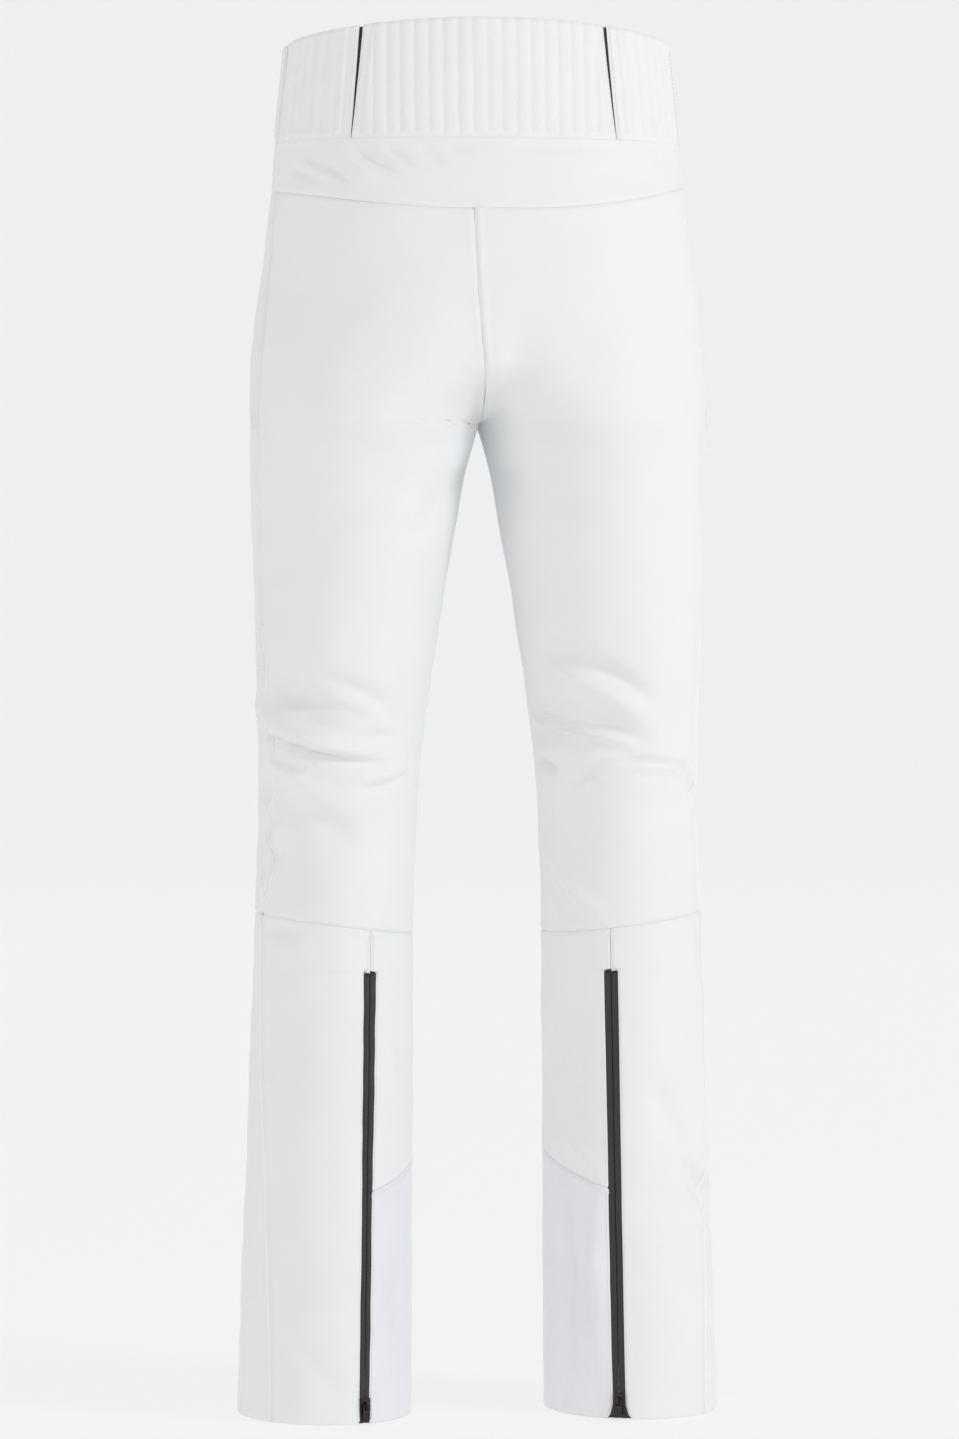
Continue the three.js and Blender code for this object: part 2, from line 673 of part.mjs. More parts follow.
// A round snap: the cap outside the tab, the stud between the tab and the fly guard
function addSnap() {
  const middle = (bandFoot + tabFootRise + bandTop - tabTopDrop - frontWaistDip) / 2;
  const at = acrossFront(snapX, snapX);
  const spot = at(0, middle, 0);
  const slopeUp = at(0, middle + 1, 0).sub(spot);
  const slopeLeft = acrossFront(snapX + 1, snapX + 1)(0, middle, 0).sub(spot);
  const out = slopeLeft.cross(slopeUp).normalize();
  const disc = (name, radius, height, offset, finish) => {
    const mesh = add(name, new THREE.CylinderGeometry(radius, radius, height, 16), finish);
    mesh.quaternion.setFromUnitVectors(new THREE.Vector3(0, 1, 0), out);
    mesh.position.copy(spot).addScaledVector(out, offset);
  };
  const bow = 0.15; // how far the tab curves away from the disc's rim
  disc('snap_cap', snapCapRadius, snapCapHeight, seamGap + snapCapHeight / 2, 'metal');
  const behindTab = tabThickness + runningGap + bow;
  const studHeight = flyGuardDepth - behindTab - runningGap;
  disc('snap_stud', snapStudRadius, studHeight, -behindTab - studHeight / 2, 'metal');
}

// ---- snow gaiters -----------------------------------------------------------------------------

const gaiterTop = calfSeam - gaiterTopDrop;
const elasticTop = elasticFoot + elasticHeight;
const gaiterInset = (z) => {
  const neckFoot = gaiterTop - gaiterNeck;
  if (z > neckFoot) return lerp(gaiterNeckInset, cloth + layerGap, (z - neckFoot) / gaiterNeck);
  return lerp(gaiterNeckInset, gaiterFootInset, clamp((neckFoot - z) / (neckFoot - elasticTop), 0, 1));
};
const roundLeg = (s, z, inset) => {
  const angle = 2 * Math.PI * s;
  return skin(angle > Math.PI ? angle - 2 * Math.PI : angle, z, inset + gaiterInset(z));
};

function addGaiters() {
  const rows = [elasticTop + seamGap, gaiterTop - gaiterNeck, gaiterTop].map(level);
  const shared = { place: roundLeg, across: 26, thickness: gaiterThickness, ring: true };
  addPair('gaiter', sheet({ ...shared, rows }), 'lining');
  addPair('gaiter_elastic', sheet({ ...shared, rows: [level(elasticFoot), level(elasticTop)] }), 'elastic');
}

// A lace hook on the front of each gaiter's elastic: a plate that turns out and up
function addBootHooks() {
  const middle = (elasticFoot + elasticTop) / 2;
  const wall = 1;
  const reach = 5;
  const lip = 7;
  const height = 14;
  const shape = new THREE.Shape();
  shape.moveTo(0, 0);
  shape.lineTo(reach, 0);
  shape.lineTo(reach, lip);
  shape.lineTo(reach - wall, lip);
  shape.lineTo(reach - wall, wall);
  shape.lineTo(wall, wall);
  shape.lineTo(wall, height);
  shape.lineTo(0, height);
  shape.closePath();
  const spot = roundLeg(0.75, middle, 0);
  for (const [name, side] of [['left', 1], ['right', -1]]) {
    const geometry = new THREE.ExtrudeGeometry(shape, { depth: hookWidth, bevelEnabled: false });
    geometry.translate(0, 0, -hookWidth / 2);
    geometry.applyMatrix4(new THREE.Matrix4().makeBasis(
      new THREE.Vector3(0, -1, 0),
      new THREE.Vector3(0, 0, 1),
      new THREE.Vector3(-1, 0, 0),
    ));
    const hook = add(`boot_hook_${name}`, geometry, 'steel');
    hook.position.set(side * spot.x, spot.y - runningGap, middle - height / 2);
  }
}

addLegPanels();
addCalfPanels();
addYoke();
addWaistband();
addFacing();
addHangerLoops();
addCalfZip('left', 1);
addCalfZip('right', -1);
addFlyZip();
addFlyGuard();
addWaistTab();
addSnap();
addGaiters();
addBootHooks();

export default group;
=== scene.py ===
"""Stretch ski pants: cloth panels, seams, folds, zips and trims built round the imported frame. Metres."""
import json
import math

import bpy
import numpy as np
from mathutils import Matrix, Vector
from mathutils.bvhtree import BVHTree


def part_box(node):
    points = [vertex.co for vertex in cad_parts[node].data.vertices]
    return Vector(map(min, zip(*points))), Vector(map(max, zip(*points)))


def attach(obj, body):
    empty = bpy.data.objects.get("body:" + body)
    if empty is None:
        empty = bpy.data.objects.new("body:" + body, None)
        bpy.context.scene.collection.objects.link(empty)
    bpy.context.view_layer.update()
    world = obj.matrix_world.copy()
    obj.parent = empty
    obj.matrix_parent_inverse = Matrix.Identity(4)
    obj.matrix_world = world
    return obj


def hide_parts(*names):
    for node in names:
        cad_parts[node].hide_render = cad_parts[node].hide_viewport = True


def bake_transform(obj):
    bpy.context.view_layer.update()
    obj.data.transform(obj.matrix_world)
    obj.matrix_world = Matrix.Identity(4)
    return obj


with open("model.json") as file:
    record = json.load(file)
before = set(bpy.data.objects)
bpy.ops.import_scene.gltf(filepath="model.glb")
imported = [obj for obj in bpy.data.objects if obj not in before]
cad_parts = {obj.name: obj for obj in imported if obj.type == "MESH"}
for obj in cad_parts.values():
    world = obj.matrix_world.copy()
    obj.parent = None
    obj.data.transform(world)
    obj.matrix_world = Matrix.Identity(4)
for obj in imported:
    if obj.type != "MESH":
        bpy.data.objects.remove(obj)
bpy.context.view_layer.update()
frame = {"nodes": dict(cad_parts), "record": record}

MM = 0.001
SIDES = {"left": 1, "right": -1}
CLOTH_THICK = 1.3 * MM
RIB_THICK = 1.5 * MM


# ---- levels and seams, read from the frame -------------------------------------------

def low(node):
    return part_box(node)[0][2]


def high(node):
    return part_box(node)[1][2]


CALF_SEAM = (high("shin_left") + low("knee_left")) / 2
KNEE_SEAM = (high("knee_left") + low("front_thigh_left")) / 2
YOKE_SIDE = high("seat_left")
YOKE_BACK = low("yoke_back")
YOKE_FRONT = low("yoke_front_left")
BAND_FOOT = low("waistband_back")
BAND_TOP_BACK = high("waistband_back")
BAND_TOP_SIDE = high("vent_side_left")
BAND_TOP_FRONT = high("fly_guard") + 5 * MM
FLY_FOOT = low("fly_tape_left") - 3 * MM
ZIP_TOP = high("calf_zip_stop_left")
GUARD_AT_INSEAM = high("scuff_guard_left")
GUARD_AT_ZIP = low("calf_inner_left")


# ---- the body surface, measured on the frame's own panels ----------------------------

SHELL = ["shin_left", "knee_left", "front_thigh_left", "calf_outer_left", "calf_inner_left",
         "scuff_guard_left", "seat_left", "yoke_front_left", "yoke_back", "waistband_front_left",
         "waistband_side_left", "waistband_back"]


def surface_tree(names):
    corners, faces = [], []
    for name in names:
        mesh = frame["nodes"][name].data
        start = len(corners)
        corners += [v.co.copy() for v in mesh.vertices]
        faces += [tuple(start + i for i in p.vertices) for p in mesh.polygons]
    return BVHTree.FromPolygons(corners, faces)


TREE = surface_tree(SHELL)


def probe(origin, direction):
    return TREE.ray_cast(Vector(origin), Vector(direction))[0]


def half_section(z, outer, inner, sign):
    """Half-width and depth of the ellipse that fits one half at height z, to the back or the front."""
    start, stop = (inner, outer) if inner else (0, outer)
    xs = start + (stop - start) * np.linspace(0.1, 0.9, 17)
    hits = [probe((x, sign * 0.5, z), (0, -sign, 0)) for x in xs]
    seen = [(x, abs(h.y)) for x, h in zip(xs, hits) if h and h.y * sign > 0]
    xs, ys = np.array(seen).T
    best = None
    for a in [(outer - inner) / 2] if inner else np.linspace(outer / 2, outer, 90):
        share = np.sqrt(np.clip(1 - ((xs - outer + a) / a) ** 2, 1e-4, 1))
        depth = np.median(ys / share)
        error = np.abs(ys - depth * share).sum()
        if best is None or error < best[0]:
            best = (error, a, depth)
    return best[1:]


def measure():
    rows = []
    for z in np.arange(2 * MM, BAND_TOP_SIDE - 3 * MM, 4 * MM):
        outer = probe((0.5, 0, z), (-1, 0, 0))
        first = probe((0, 3 * MM, z), (1, 0, 0))
        if outer is None or first is None:
            continue
        inner = first.x if first.x < outer.x * 0.7 else 0
        back, front = (half_section(z, outer.x, inner, sign) for sign in (1, -1))
        rows.append([z, outer.x, *back, *front, inner])
    return np.array(rows)


GRID = np.arange(-10 * MM, 1.13, MM)


def softened_run(values, spread=7):
    kernel = np.exp(-0.5 * (np.arange(-3 * spread, 3 * spread + 1) / spread) ** 2)
    padded = np.pad(values, 3 * spread, mode="reflect", reflect_type="odd")
    return np.convolve(padded, kernel / kernel.sum(), mode="valid")


def smoothed(z, values):
    """The measured values on a 1 mm grid, straight below the calf seam."""
    middle = np.array([np.median(values[max(0, i - 2):i + 3]) for i in range(len(values))])
    dense = np.interp(GRID, z, middle)
    rise = np.polyfit(z[-8:], middle[-8:], 1)
    dense = np.where(GRID > z[-1], np.polyval(rise, GRID), dense)
    leg = z < CALF_SEAM
    line = np.polyval(np.polyfit(z[leg], middle[leg], 1), GRID)
    return np.where(GRID < CALF_SEAM, line, dense)


def forked(z, inner):
    """The line of the inseam, softened on each side of the crotch, where it crosses x = 0."""
    dense = smoothed(z, inner)
    fork = int(round((CROTCH - GRID[0]) / MM))
    near = 10
    dense[fork - near:fork + 1] = np.linspace(dense[fork - near], 0, near + 1)
    dense[fork:fork + near + 1] = np.linspace(0, dense[fork + near], near + 1)
    return np.concatenate([softened_run(dense[:fork + 1])[:-1], softened_run(dense[fork:])])


MEASURED = measure()
CROTCH = MEASURED[MEASURED[:, 6] > 0, 0].max() + 2 * MM
OUTER, BACK_B, FRONT_B = (softened_run(smoothed(MEASURED[:, 0], MEASURED[:, k])) for k in (1, 3, 5))
INNER = [forked(MEASURED[:, 0], MEASURED[:, 1] - 2 * MEASURED[:, k]) for k in (2, 4)]
BACK_A, FRONT_A = ((OUTER - inner) / 2 for inner in INNER)


def section(angle, z, inset=0.0):
    back = angle >= 0
    outer = np.interp(z, GRID, OUTER)
    a = np.where(back, np.interp(z, GRID, BACK_A), np.interp(z, GRID, FRONT_A))
    b = np.where(back, np.interp(z, GRID, BACK_B), np.interp(z, GRID, FRONT_B))
    return outer - a, a - inset, b - inset


def skin(angle, z, inset=0.0):
    """Points of the wearer's left half; the angle runs from the outer side, positive to the back."""
    centre, a, b = section(angle, z, inset)
    x = centre + a * np.cos(angle)
    y = b * np.sin(angle)
    share = np.clip((np.abs(x) - centre) / a, -1, 1)
    y = np.where(x < 0, np.sign(y) * b * np.sqrt(1 - share ** 2), y)
    return np.stack(np.broadcast_arrays(x, y + centre_fill(x, z, centre, a, b, np.sign(angle)), z), -1)


def centre_fill(x, z, centre, a, b, sign):
    """Rounds off the groove where the two halves meet above the crotch, as cloth spans it."""
    reach = np.clip((z - CROTCH) * 0.8, 0, 34 * MM)
    share = np.clip(centre / a, 0, 0.98)
    slope = b / a * share / np.sqrt(1 - share ** 2)
    near = np.clip(reach - np.abs(x), 0, None)
    return sign * slope * near ** 2 / (2 * np.maximum(reach, MM))


def angle_at_x(x, z, sign, inset=0.0):
    centre, a, _ = section(sign * np.ones_like(z), z, inset)
    return sign * np.arccos(np.clip((x - centre) / a, -1, 1))


def centre_angle(z, sign, side="left"):
    """The centre seam. At the back it drifts a little to the wearer's left between crotch and waist."""
    drift = 18 * MM * np.sin(math.pi * np.clip((z - CROTCH) / 0.33, 0, 1)) ** 0.7 if sign > 0 else 0.0
    return angle_at_x(drift * SIDES[side], z, sign)


def mean_radius(z):
    return (np.interp(z, GRID, BACK_A) + np.interp(z, GRID, BACK_B)) / 2


# ---- seam lines ----------------------------------------------------------------------

ZIP = math.radians(109)
BACK_VENT = {"left": math.radians(48), "right": math.radians(53.5)}
SIDE_VENT = {"left": math.radians(6), "right": math.radians(9.5)}
# The side seam swings back down the calf. At the left knee the cloth bunches and pushes it about.
SIDE_SEAM = [(0, 43.5), (60, 41), (125, 37), (180, 33), (250, 26.5), (330, 20), (400, 16.5),
             (470, 16), (560, 18), (620, 16), (850, 15), (930, 11), (985, 9), (1110, 6)]
BUNCHED_SEAM = [(396, -8), (413, 9), (438, 13), (461, -2), (488, 11), (524, 12), (534, -3), (567, 3),
                (600, 2)]


def side_seam(side, z):
    knots = np.array(SIDE_SEAM, dtype=float)
    angle = np.interp(z / MM, knots[:, 0], knots[:, 1])
    if side == "left":
        bumps = np.array(BUNCHED_SEAM, dtype=float)
        angle = angle + np.interp(z / MM, bumps[:, 0], bumps[:, 1], left=0, right=0)
    return np.radians(angle)


def soft_line(function, reach=6 * MM):
    """The same line with its corners rounded off."""
    return lambda z: sum(function(z + k * reach / 3) for k in range(-3, 4)) / 7


def yoke_line(side):
    """The yoke seam dips to the centre. On the right it starts a little higher."""
    start = YOKE_SIDE + {"left": 0, "right": 5 * MM}[side]

    def line(angle):
        end = np.where(angle > 0, YOKE_BACK, YOKE_FRONT)
        return start - (start - end) * np.sin(angle) ** 2
    return line


def top_line(angle):
    share = np.abs(np.sin(angle))
    rise = (BAND_TOP_BACK - BAND_TOP_SIDE) * share ** 1.25
    dip = (BAND_TOP_SIDE - BAND_TOP_FRONT) * share ** 2
    return BAND_TOP_SIDE + np.where(angle > 0, rise, -dip)


def calf_line(angle):
    return CALF_SEAM + 8 * MM * np.cos(angle)


def guard_line(angle):
    share = np.clip((angle - ZIP) / (math.pi - ZIP), 0, 1)
    return GUARD_AT_ZIP + (GUARD_AT_INSEAM - GUARD_AT_ZIP) * share


# ---- folds ---------------------------------------------------------------------------
# Each fold runs between two places, given by the angle in degrees and the height in mm. It has a
# half-width above and below its line, a height (negative for a crease) and a bow, all in mm.

FOLDS = {
    "left": [
        (8, 538, 112, 514, 3, 4, -6.0, -2), (4, 560, 92, 522, 15, 5, 7.0, -4),
        (24, 516, 60, 502, 4, 10, 3.6, 0), (52, 500, 96, 512, 3, 3, -2.0, 3),
        (40, 566, 100, 551, 7, 4, -2.6, 2), (44, 558, 96, 545, 4, 5, 2.2, 2),
        (26, 590, 74, 546, 12, 9, -4.2, -4), (60, 583, 118, 556, 8, 8, -3.0, 2),
        (66, 569, 112, 547, 8, 8, 2.4, 2), (76, 533, 124, 536, 3, 4, -1.6, 1),
        (92, 494, 140, 506, 4, 4, -2.2, -3), (96, 503, 140, 515, 6, 6, 1.7, -3),
        (50, 483, 94, 458, 9, 11, -3.0, 0), (44, 500, 88, 478, 9, 8, 2.4, 0),
        (16, 470, 34, 430, 7, 7, -3.2, 0), (8, 500, 26, 486, 8, 9, -3.4, 0),
        (20, 448, 40, 470, 6, 7, 2.0, 0), (22, 388, 60, 383, 6, 7, -1.4, 0),
        (26, 376, 62, 368, 8, 9, 1.4, 0), (10, 424, 24, 412, 8, 8, 2.6, 0),
        (150, 520, 176, 530, 5, 6, -2.0, 0), (128, 330, 150, 250, 10, 10, -1.6, 0),
        (130, 120, 156, 40, 12, 12, -3.0, 0), (60, 60, 96, 20, 12, 12, -1.2, 0),
        (120, 700, 168, 744, 14, 16, -2.6, 4), (60, 690, 110, 740, 22, 22, -1.2, 6),
    ],
    "right": [
        (142, 606, 76, 566, 8, 9, -5.2, 3), (150, 592, 80, 552, 9, 8, 3.8, 3),
        (158, 562, 78, 531, 7, 6, -5.2, 2), (176, 554, 96, 538, 3, 4, -3.8, 0),
        (174, 547, 98, 531, 3, 4, 3.0, 0), (172, 540, 84, 520, 6, 6, -4.0, 2),
        (174, 516, 148, 507, 4, 3, -4.0, 0), (170, 526, 146, 520, 6, 5, 2.2, 0),
        (132, 498, 104, 512, 4, 5, -2.4, 3), (108, 513, 44, 510, 4, 6, -3.8, 2),
        (48, 511, 12, 478, 5, 9, -4.8, 4), (112, 500, 40, 502, 5, 16, 3.2, 4),
        (128, 496, 104, 508, 3, 6, 1.8, 0), (164, 448, 118, 398, 8, 7, 4.0, -6),
        (170, 440, 128, 392, 9, 8, -3.0, -8), (148, 488, 132, 430, 10, 10, -1.8, 0),
        (84, 262, 40, 172, 12, 14, -3.6, 4), (48, 190, 10, 148, 9, 12, -3.6, 2),
        (60, 214, 20, 176, 7, 8, 2.4, 2), (40, 158, 8, 190, 3, 4, -2.0, 0),
        (34, 60, 10, 96, 4, 5, -2.0, 0), (150, 300, 132, 232, 10, 12, -2.2, 0),
        (156, 140, 124, 66, 12, 12, -2.6, 0), (138, 150, 116, 100, 8, 9, 1.8, 0),
        (121, 190, 124, 40, 9, 9, 3.0, 0), (152, 190, 148, 20, 11, 11, -3.2, 0),
        (150, 222, 118, 192, 6, 6, 1.6, 0), (162, 560, 120, 640, 16, 18, -2.0, 0),
        (168, 742, 118, 700, 16, 16, -3.0, 4), (140, 826, 70, 812, 26, 26, -2.4, 8),
    ],
    "both": [
        (34, 912, 62, 858, 26, 26, -2.2, 0), (150, 800, 116, 850, 20, 20, -2.2, 6),
        (-20, 798, -86, 842, 8, 9, -2.8, 4), (-24, 812, -84, 858, 9, 9, 2.0, 4),
        (-40, 790, -140, 804, 9, 9, -2.8, 6), (-20, 776, -100, 784, 12, 12, -1.8, 0),
        (-30, 770, -120, 748, 12, 14, -2.0, 0), (-36, 528, -150, 522, 9, 9, -1.8, -4),
        (-30, 556, -120, 566, 10, 10, -1.6, 4), (-34, 480, -110, 470, 12, 10, -1.8, 0),
        (-150, 560, -120, 500, 10, 10, -1.6, 0), (-40, 300, -120, 250, 18, 18, -1.4, 6),
        (-30, 150, -90, 100, 14, 16, -1.6, 4), (-140, 200, -90, 130, 14, 14, -1.4, 0),
        (-50, 60, -130, 36, 12, 12, -1.4, 0), (-60, 900, -30, 870, 12, 12, -1.2, 0),
    ],
}
FOLD_DEPTH = 1.4
YOKE_FOLDS = {
    "left": [
        (21, 978, 37, 968, 2.5, 3, -1.6, 0), (39, 981, 49, 966, 2.5, 3, -1.8, 0),
        (50, 991, 65, 972, 2.5, 3, -2.0, 0), (60, 993, 70, 978, 2.5, 3, -1.6, 0),
        (71, 993, 79, 981, 2.5, 3, -1.3, 0), (79, 994, 88, 988, 2.5, 3, -1.1, 0),
        (30, 982, 43, 968, 3, 3, 1.2, 0), (44, 988, 57, 970, 3, 3, 1.4, 0),
        (56, 994, 68, 976, 3, 3, 1.2, 0),
    ],
    "right": [
        (88, 996, 62, 992, 4, 5, -1.2, 0), (40, 992, 16, 982, 6, 6, -0.8, 0),
        (70, 977, 40, 970, 8, 8, -0.7, 0),
    ],
    "both": [(-14, 992, -50, 978, 5, 6, -1.2, 0), (-40, 994, -76, 982, 6, 6, -1.0, 0)],
}


def eased(share):
    """A smooth step from 0 to 1."""
    share = np.clip(share, 0, 1)
    return share * share * (3 - 2 * share)


def fold_field(folds, side, angle, z):
    total = np.zeros(np.broadcast(angle, z).shape)
    for a0, z0, a1, z1, above, below, rise, bow in folds[side] + folds["both"]:
        radius = float(mean_radius((z0 + z1) / 2 * MM))
        start = np.array([math.radians(a0) * radius, z0 * MM])
        run = np.array([math.radians(a1) * radius, z1 * MM]) - start
        length = np.hypot(*run)
        along = ((angle * radius - start[0]) * run[0] + (z - start[1]) * run[1]) / length ** 2
        across = ((z - start[1]) * run[0] - (angle * radius - start[0]) * run[1]) / length * np.sign(run[0])
        share = 2 * along - 1
        across = across - bow * MM * np.clip(1 - share ** 2, 0, 1)
        width = np.where(across > 0, above, below) * MM
        total += FOLD_DEPTH * rise * MM * np.exp(-(across / width) ** 2) * np.exp(-1.3 * share ** 4)
    return total


def ripple(angle, z, seed):
    """Faint, wide unevenness of stretch cloth: a few slow waves in fixed random directions."""
    draw = np.random.default_rng(seed)
    total = np.zeros(np.broadcast(angle, z).shape)
    for _ in range(9):
        turn, wave, phase = draw.uniform(0, math.pi), draw.uniform(25, 90) * MM, draw.uniform(0, 6.3)
        total += np.sin((angle * 0.08 * math.cos(turn) + z * math.sin(turn)) / wave * 6.3 + phase) / 9
    return total


def body_folds(side, angle, z):
    return fold_field(FOLDS, side, angle, z) + 1.1 * MM * ripple(angle, z, 3 if side == "left" else 4)


# ---- mesh making ---------------------------------------------------------------------

def new_piece(name, verts, faces, materials, body="garment"):
    mesh = bpy.data.meshes.new(name)
    mesh.from_pydata([tuple(v) for v in verts], [], faces)
    mesh.update()
    mesh.polygons.foreach_set("use_smooth", [True] * len(mesh.polygons))
    for material in materials:
        mesh.materials.append(material)
    piece = bpy.data.objects.new(name, mesh)
    bpy.context.scene.collection.objects.link(piece)
    if body:
        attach(piece, body)
    return piece


def grid_faces(rows, columns, closed=False):
    last = columns if closed else columns - 1
    return [(j * columns + i, j * columns + (i + 1) % columns, (j + 1) * columns + (i + 1) % columns,
             (j + 1) * columns + i) for j in range(rows - 1) for i in range(last)]


def spread(length, step, edge=(0.4, 0.9, 1.5, 2.3, 3.4, 5.0)):
    """Shares from 0 to 1 along a length: even steps, and closer ones near both ends for the seams."""
    near = [e * MM / length for e in edge if e * MM < length / 3]
    first = near[-1] if near else 0
    count = max(2, round(length * (1 - 2 * first) / step))
    inner = list(np.linspace(first, 1 - first, count + 1))
    return np.array([0, *near[:-1], *inner, *[1 - n for n in reversed(near[:-1])], 1])


def grid_normals(points):
    along = np.gradient(points, axis=1)
    up = np.gradient(points, axis=0)
    normal = np.cross(along, up)
    return normal / np.maximum(np.linalg.norm(normal, axis=2, keepdims=True), 1e-12)


def edge_roll(distance, depth, width=1.5 * MM):
    """How far the cloth turns down towards a seam, with a faint welt beside it."""
    welt = 0.28 * depth * np.exp(-((distance - 3.6 * MM) / (2.2 * MM)) ** 2)
    return welt - depth * np.exp(-(distance / width) ** 2)


class Panel:
    """One cloth panel on a half of the body, between two angle lines and two height lines."""

    def __init__(self, side, start, stop, foot, top, step=3.2 * MM, inset=0.0, tall=None, cut=None):
        self.side = side
        middle = np.linspace(0, 1, 41)[None, :]
        reach = np.linspace(0, 1, 25)[:, None]
        angle, z = self.settle(start, stop, foot, top, middle, reach)
        rough = skin(angle, z, inset)
        self.width = np.linalg.norm(np.diff(rough, axis=1), axis=2).sum(1)
        self.height = np.linalg.norm(np.diff(rough, axis=0), axis=2).sum(0)
        s = spread(self.width.mean(), step)[None, :]
        t = self.row_shares(spread(tall or self.height.mean(), step), foot, top, cut)[:, None]
        self.angle, self.z = self.settle(start, stop, foot, top, s, t)
        self.base = skin(self.angle, self.z, inset)
        self.normal = grid_normals(self.base)
        widths = np.interp(t[:, 0], reach[:, 0], self.width)[:, None]
        heights = np.interp(s[0], middle[0], self.height)[None, :]
        self.from_start, self.from_stop = s * widths, (1 - s) * widths
        self.from_foot, self.from_top = t * heights, (1 - t) * heights
        self.lift = np.zeros(self.angle.shape)

    @staticmethod
    def row_shares(shares, foot, top, cut):
        """Sets rows close together at the height where the zip opening is cut off square."""
        if cut is None:
            return shares
        tall = top(ZIP) - foot(ZIP)
        place = (cut - foot(ZIP)) / tall
        close = place + np.arange(-4, 5) * 0.4 * MM / tall
        return np.sort(np.concatenate([shares[np.abs(shares - place) > 2 * MM / tall], close]))

    @staticmethod
    def settle(start, stop, foot, top, s, t):
        z = np.full((t.shape[0], s.shape[1]), 0.5 * (CALF_SEAM + YOKE_SIDE))
        for _ in range(8):
            angle = start(z) + (stop(z) - start(z)) * s
            z = foot(angle) + (top(angle) - foot(angle)) * t
        return angle, z

    def rolled(self, start=0.0, stop=0.0, foot=0.0, top=0.0):
        for depth, distance in ((start, self.from_start), (stop, self.from_stop), (foot, self.from_foot),
                                (top, self.from_top)):
            if depth:
                self.lift = self.lift + edge_roll(distance, depth * MM)
        return self

    def lifted(self, amount):
        self.lift = self.lift + amount
        return self

    def points(self):
        return self.base + self.normal * self.lift[..., None]

    def area(self):
        return float(self.width.mean() * self.height.mean())


def mirrored(points, side):
    return points * np.array([SIDES[side], 1, 1])


def panel_piece(name, panel, nodes, slot, body, thickness=CLOTH_THICK, held="stretched"):
    """Makes the piece of a panel, thickened inward, and hides the frame nodes it stands for."""
    points = mirrored(panel.points(), panel.side)
    rows, columns = panel.angle.shape
    faces = grid_faces(rows, columns)
    if panel.side == "right":
        faces = [face[::-1] for face in faces]
    piece = new_piece(name, points.reshape(-1, 3), faces, [CLOTH[slot], CLOTH["lining_fabric"]], body)
    finish_cloth(piece, nodes, thickness)
    declare_sheet(panel.width.max(), panel.height.max(), panel.area())
    return piece


def finish_cloth(piece, nodes, thickness):
    solidify = piece.modifiers.new("thickness", "SOLIDIFY")
    solidify.thickness = thickness
    solidify.offset = -1
    solidify.material_offset = 1
    solidify.use_even_offset = False
    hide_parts(*nodes)


def declare_sheet(width, length, area):
    area = min(max(area, 0.31 * width * length), width * length)


def tube(path, radius, sides=8):
    """Vertices and faces of a round tube along a list of points, with flat ends."""
    path = np.asarray(path, dtype=float)
    tangent = np.gradient(path, axis=0)
    tangent /= np.linalg.norm(tangent, axis=1, keepdims=True)
    side = np.cross(tangent, [0.31, 0.17, 0.94])
    side /= np.linalg.norm(side, axis=1, keepdims=True)
    other = np.cross(tangent, side)
    turn = np.linspace(0, 2 * math.pi, sides, endpoint=False)
    ring = side[:, None] * np.cos(turn)[None, :, None] + other[:, None] * np.sin(turn)[None, :, None]
    reach = np.broadcast_to(np.asarray(radius), len(path))[:, None, None]
    verts = (path[:, None] + ring * reach).reshape(-1, 3)
    faces = grid_faces(len(path), sides, closed=True)
    faces.append(tuple(reversed(range(sides))))
    faces.append(tuple(len(verts) - sides + i for i in range(sides)))
    return verts, faces


# ---- materials -----------------------------------------------------------------------

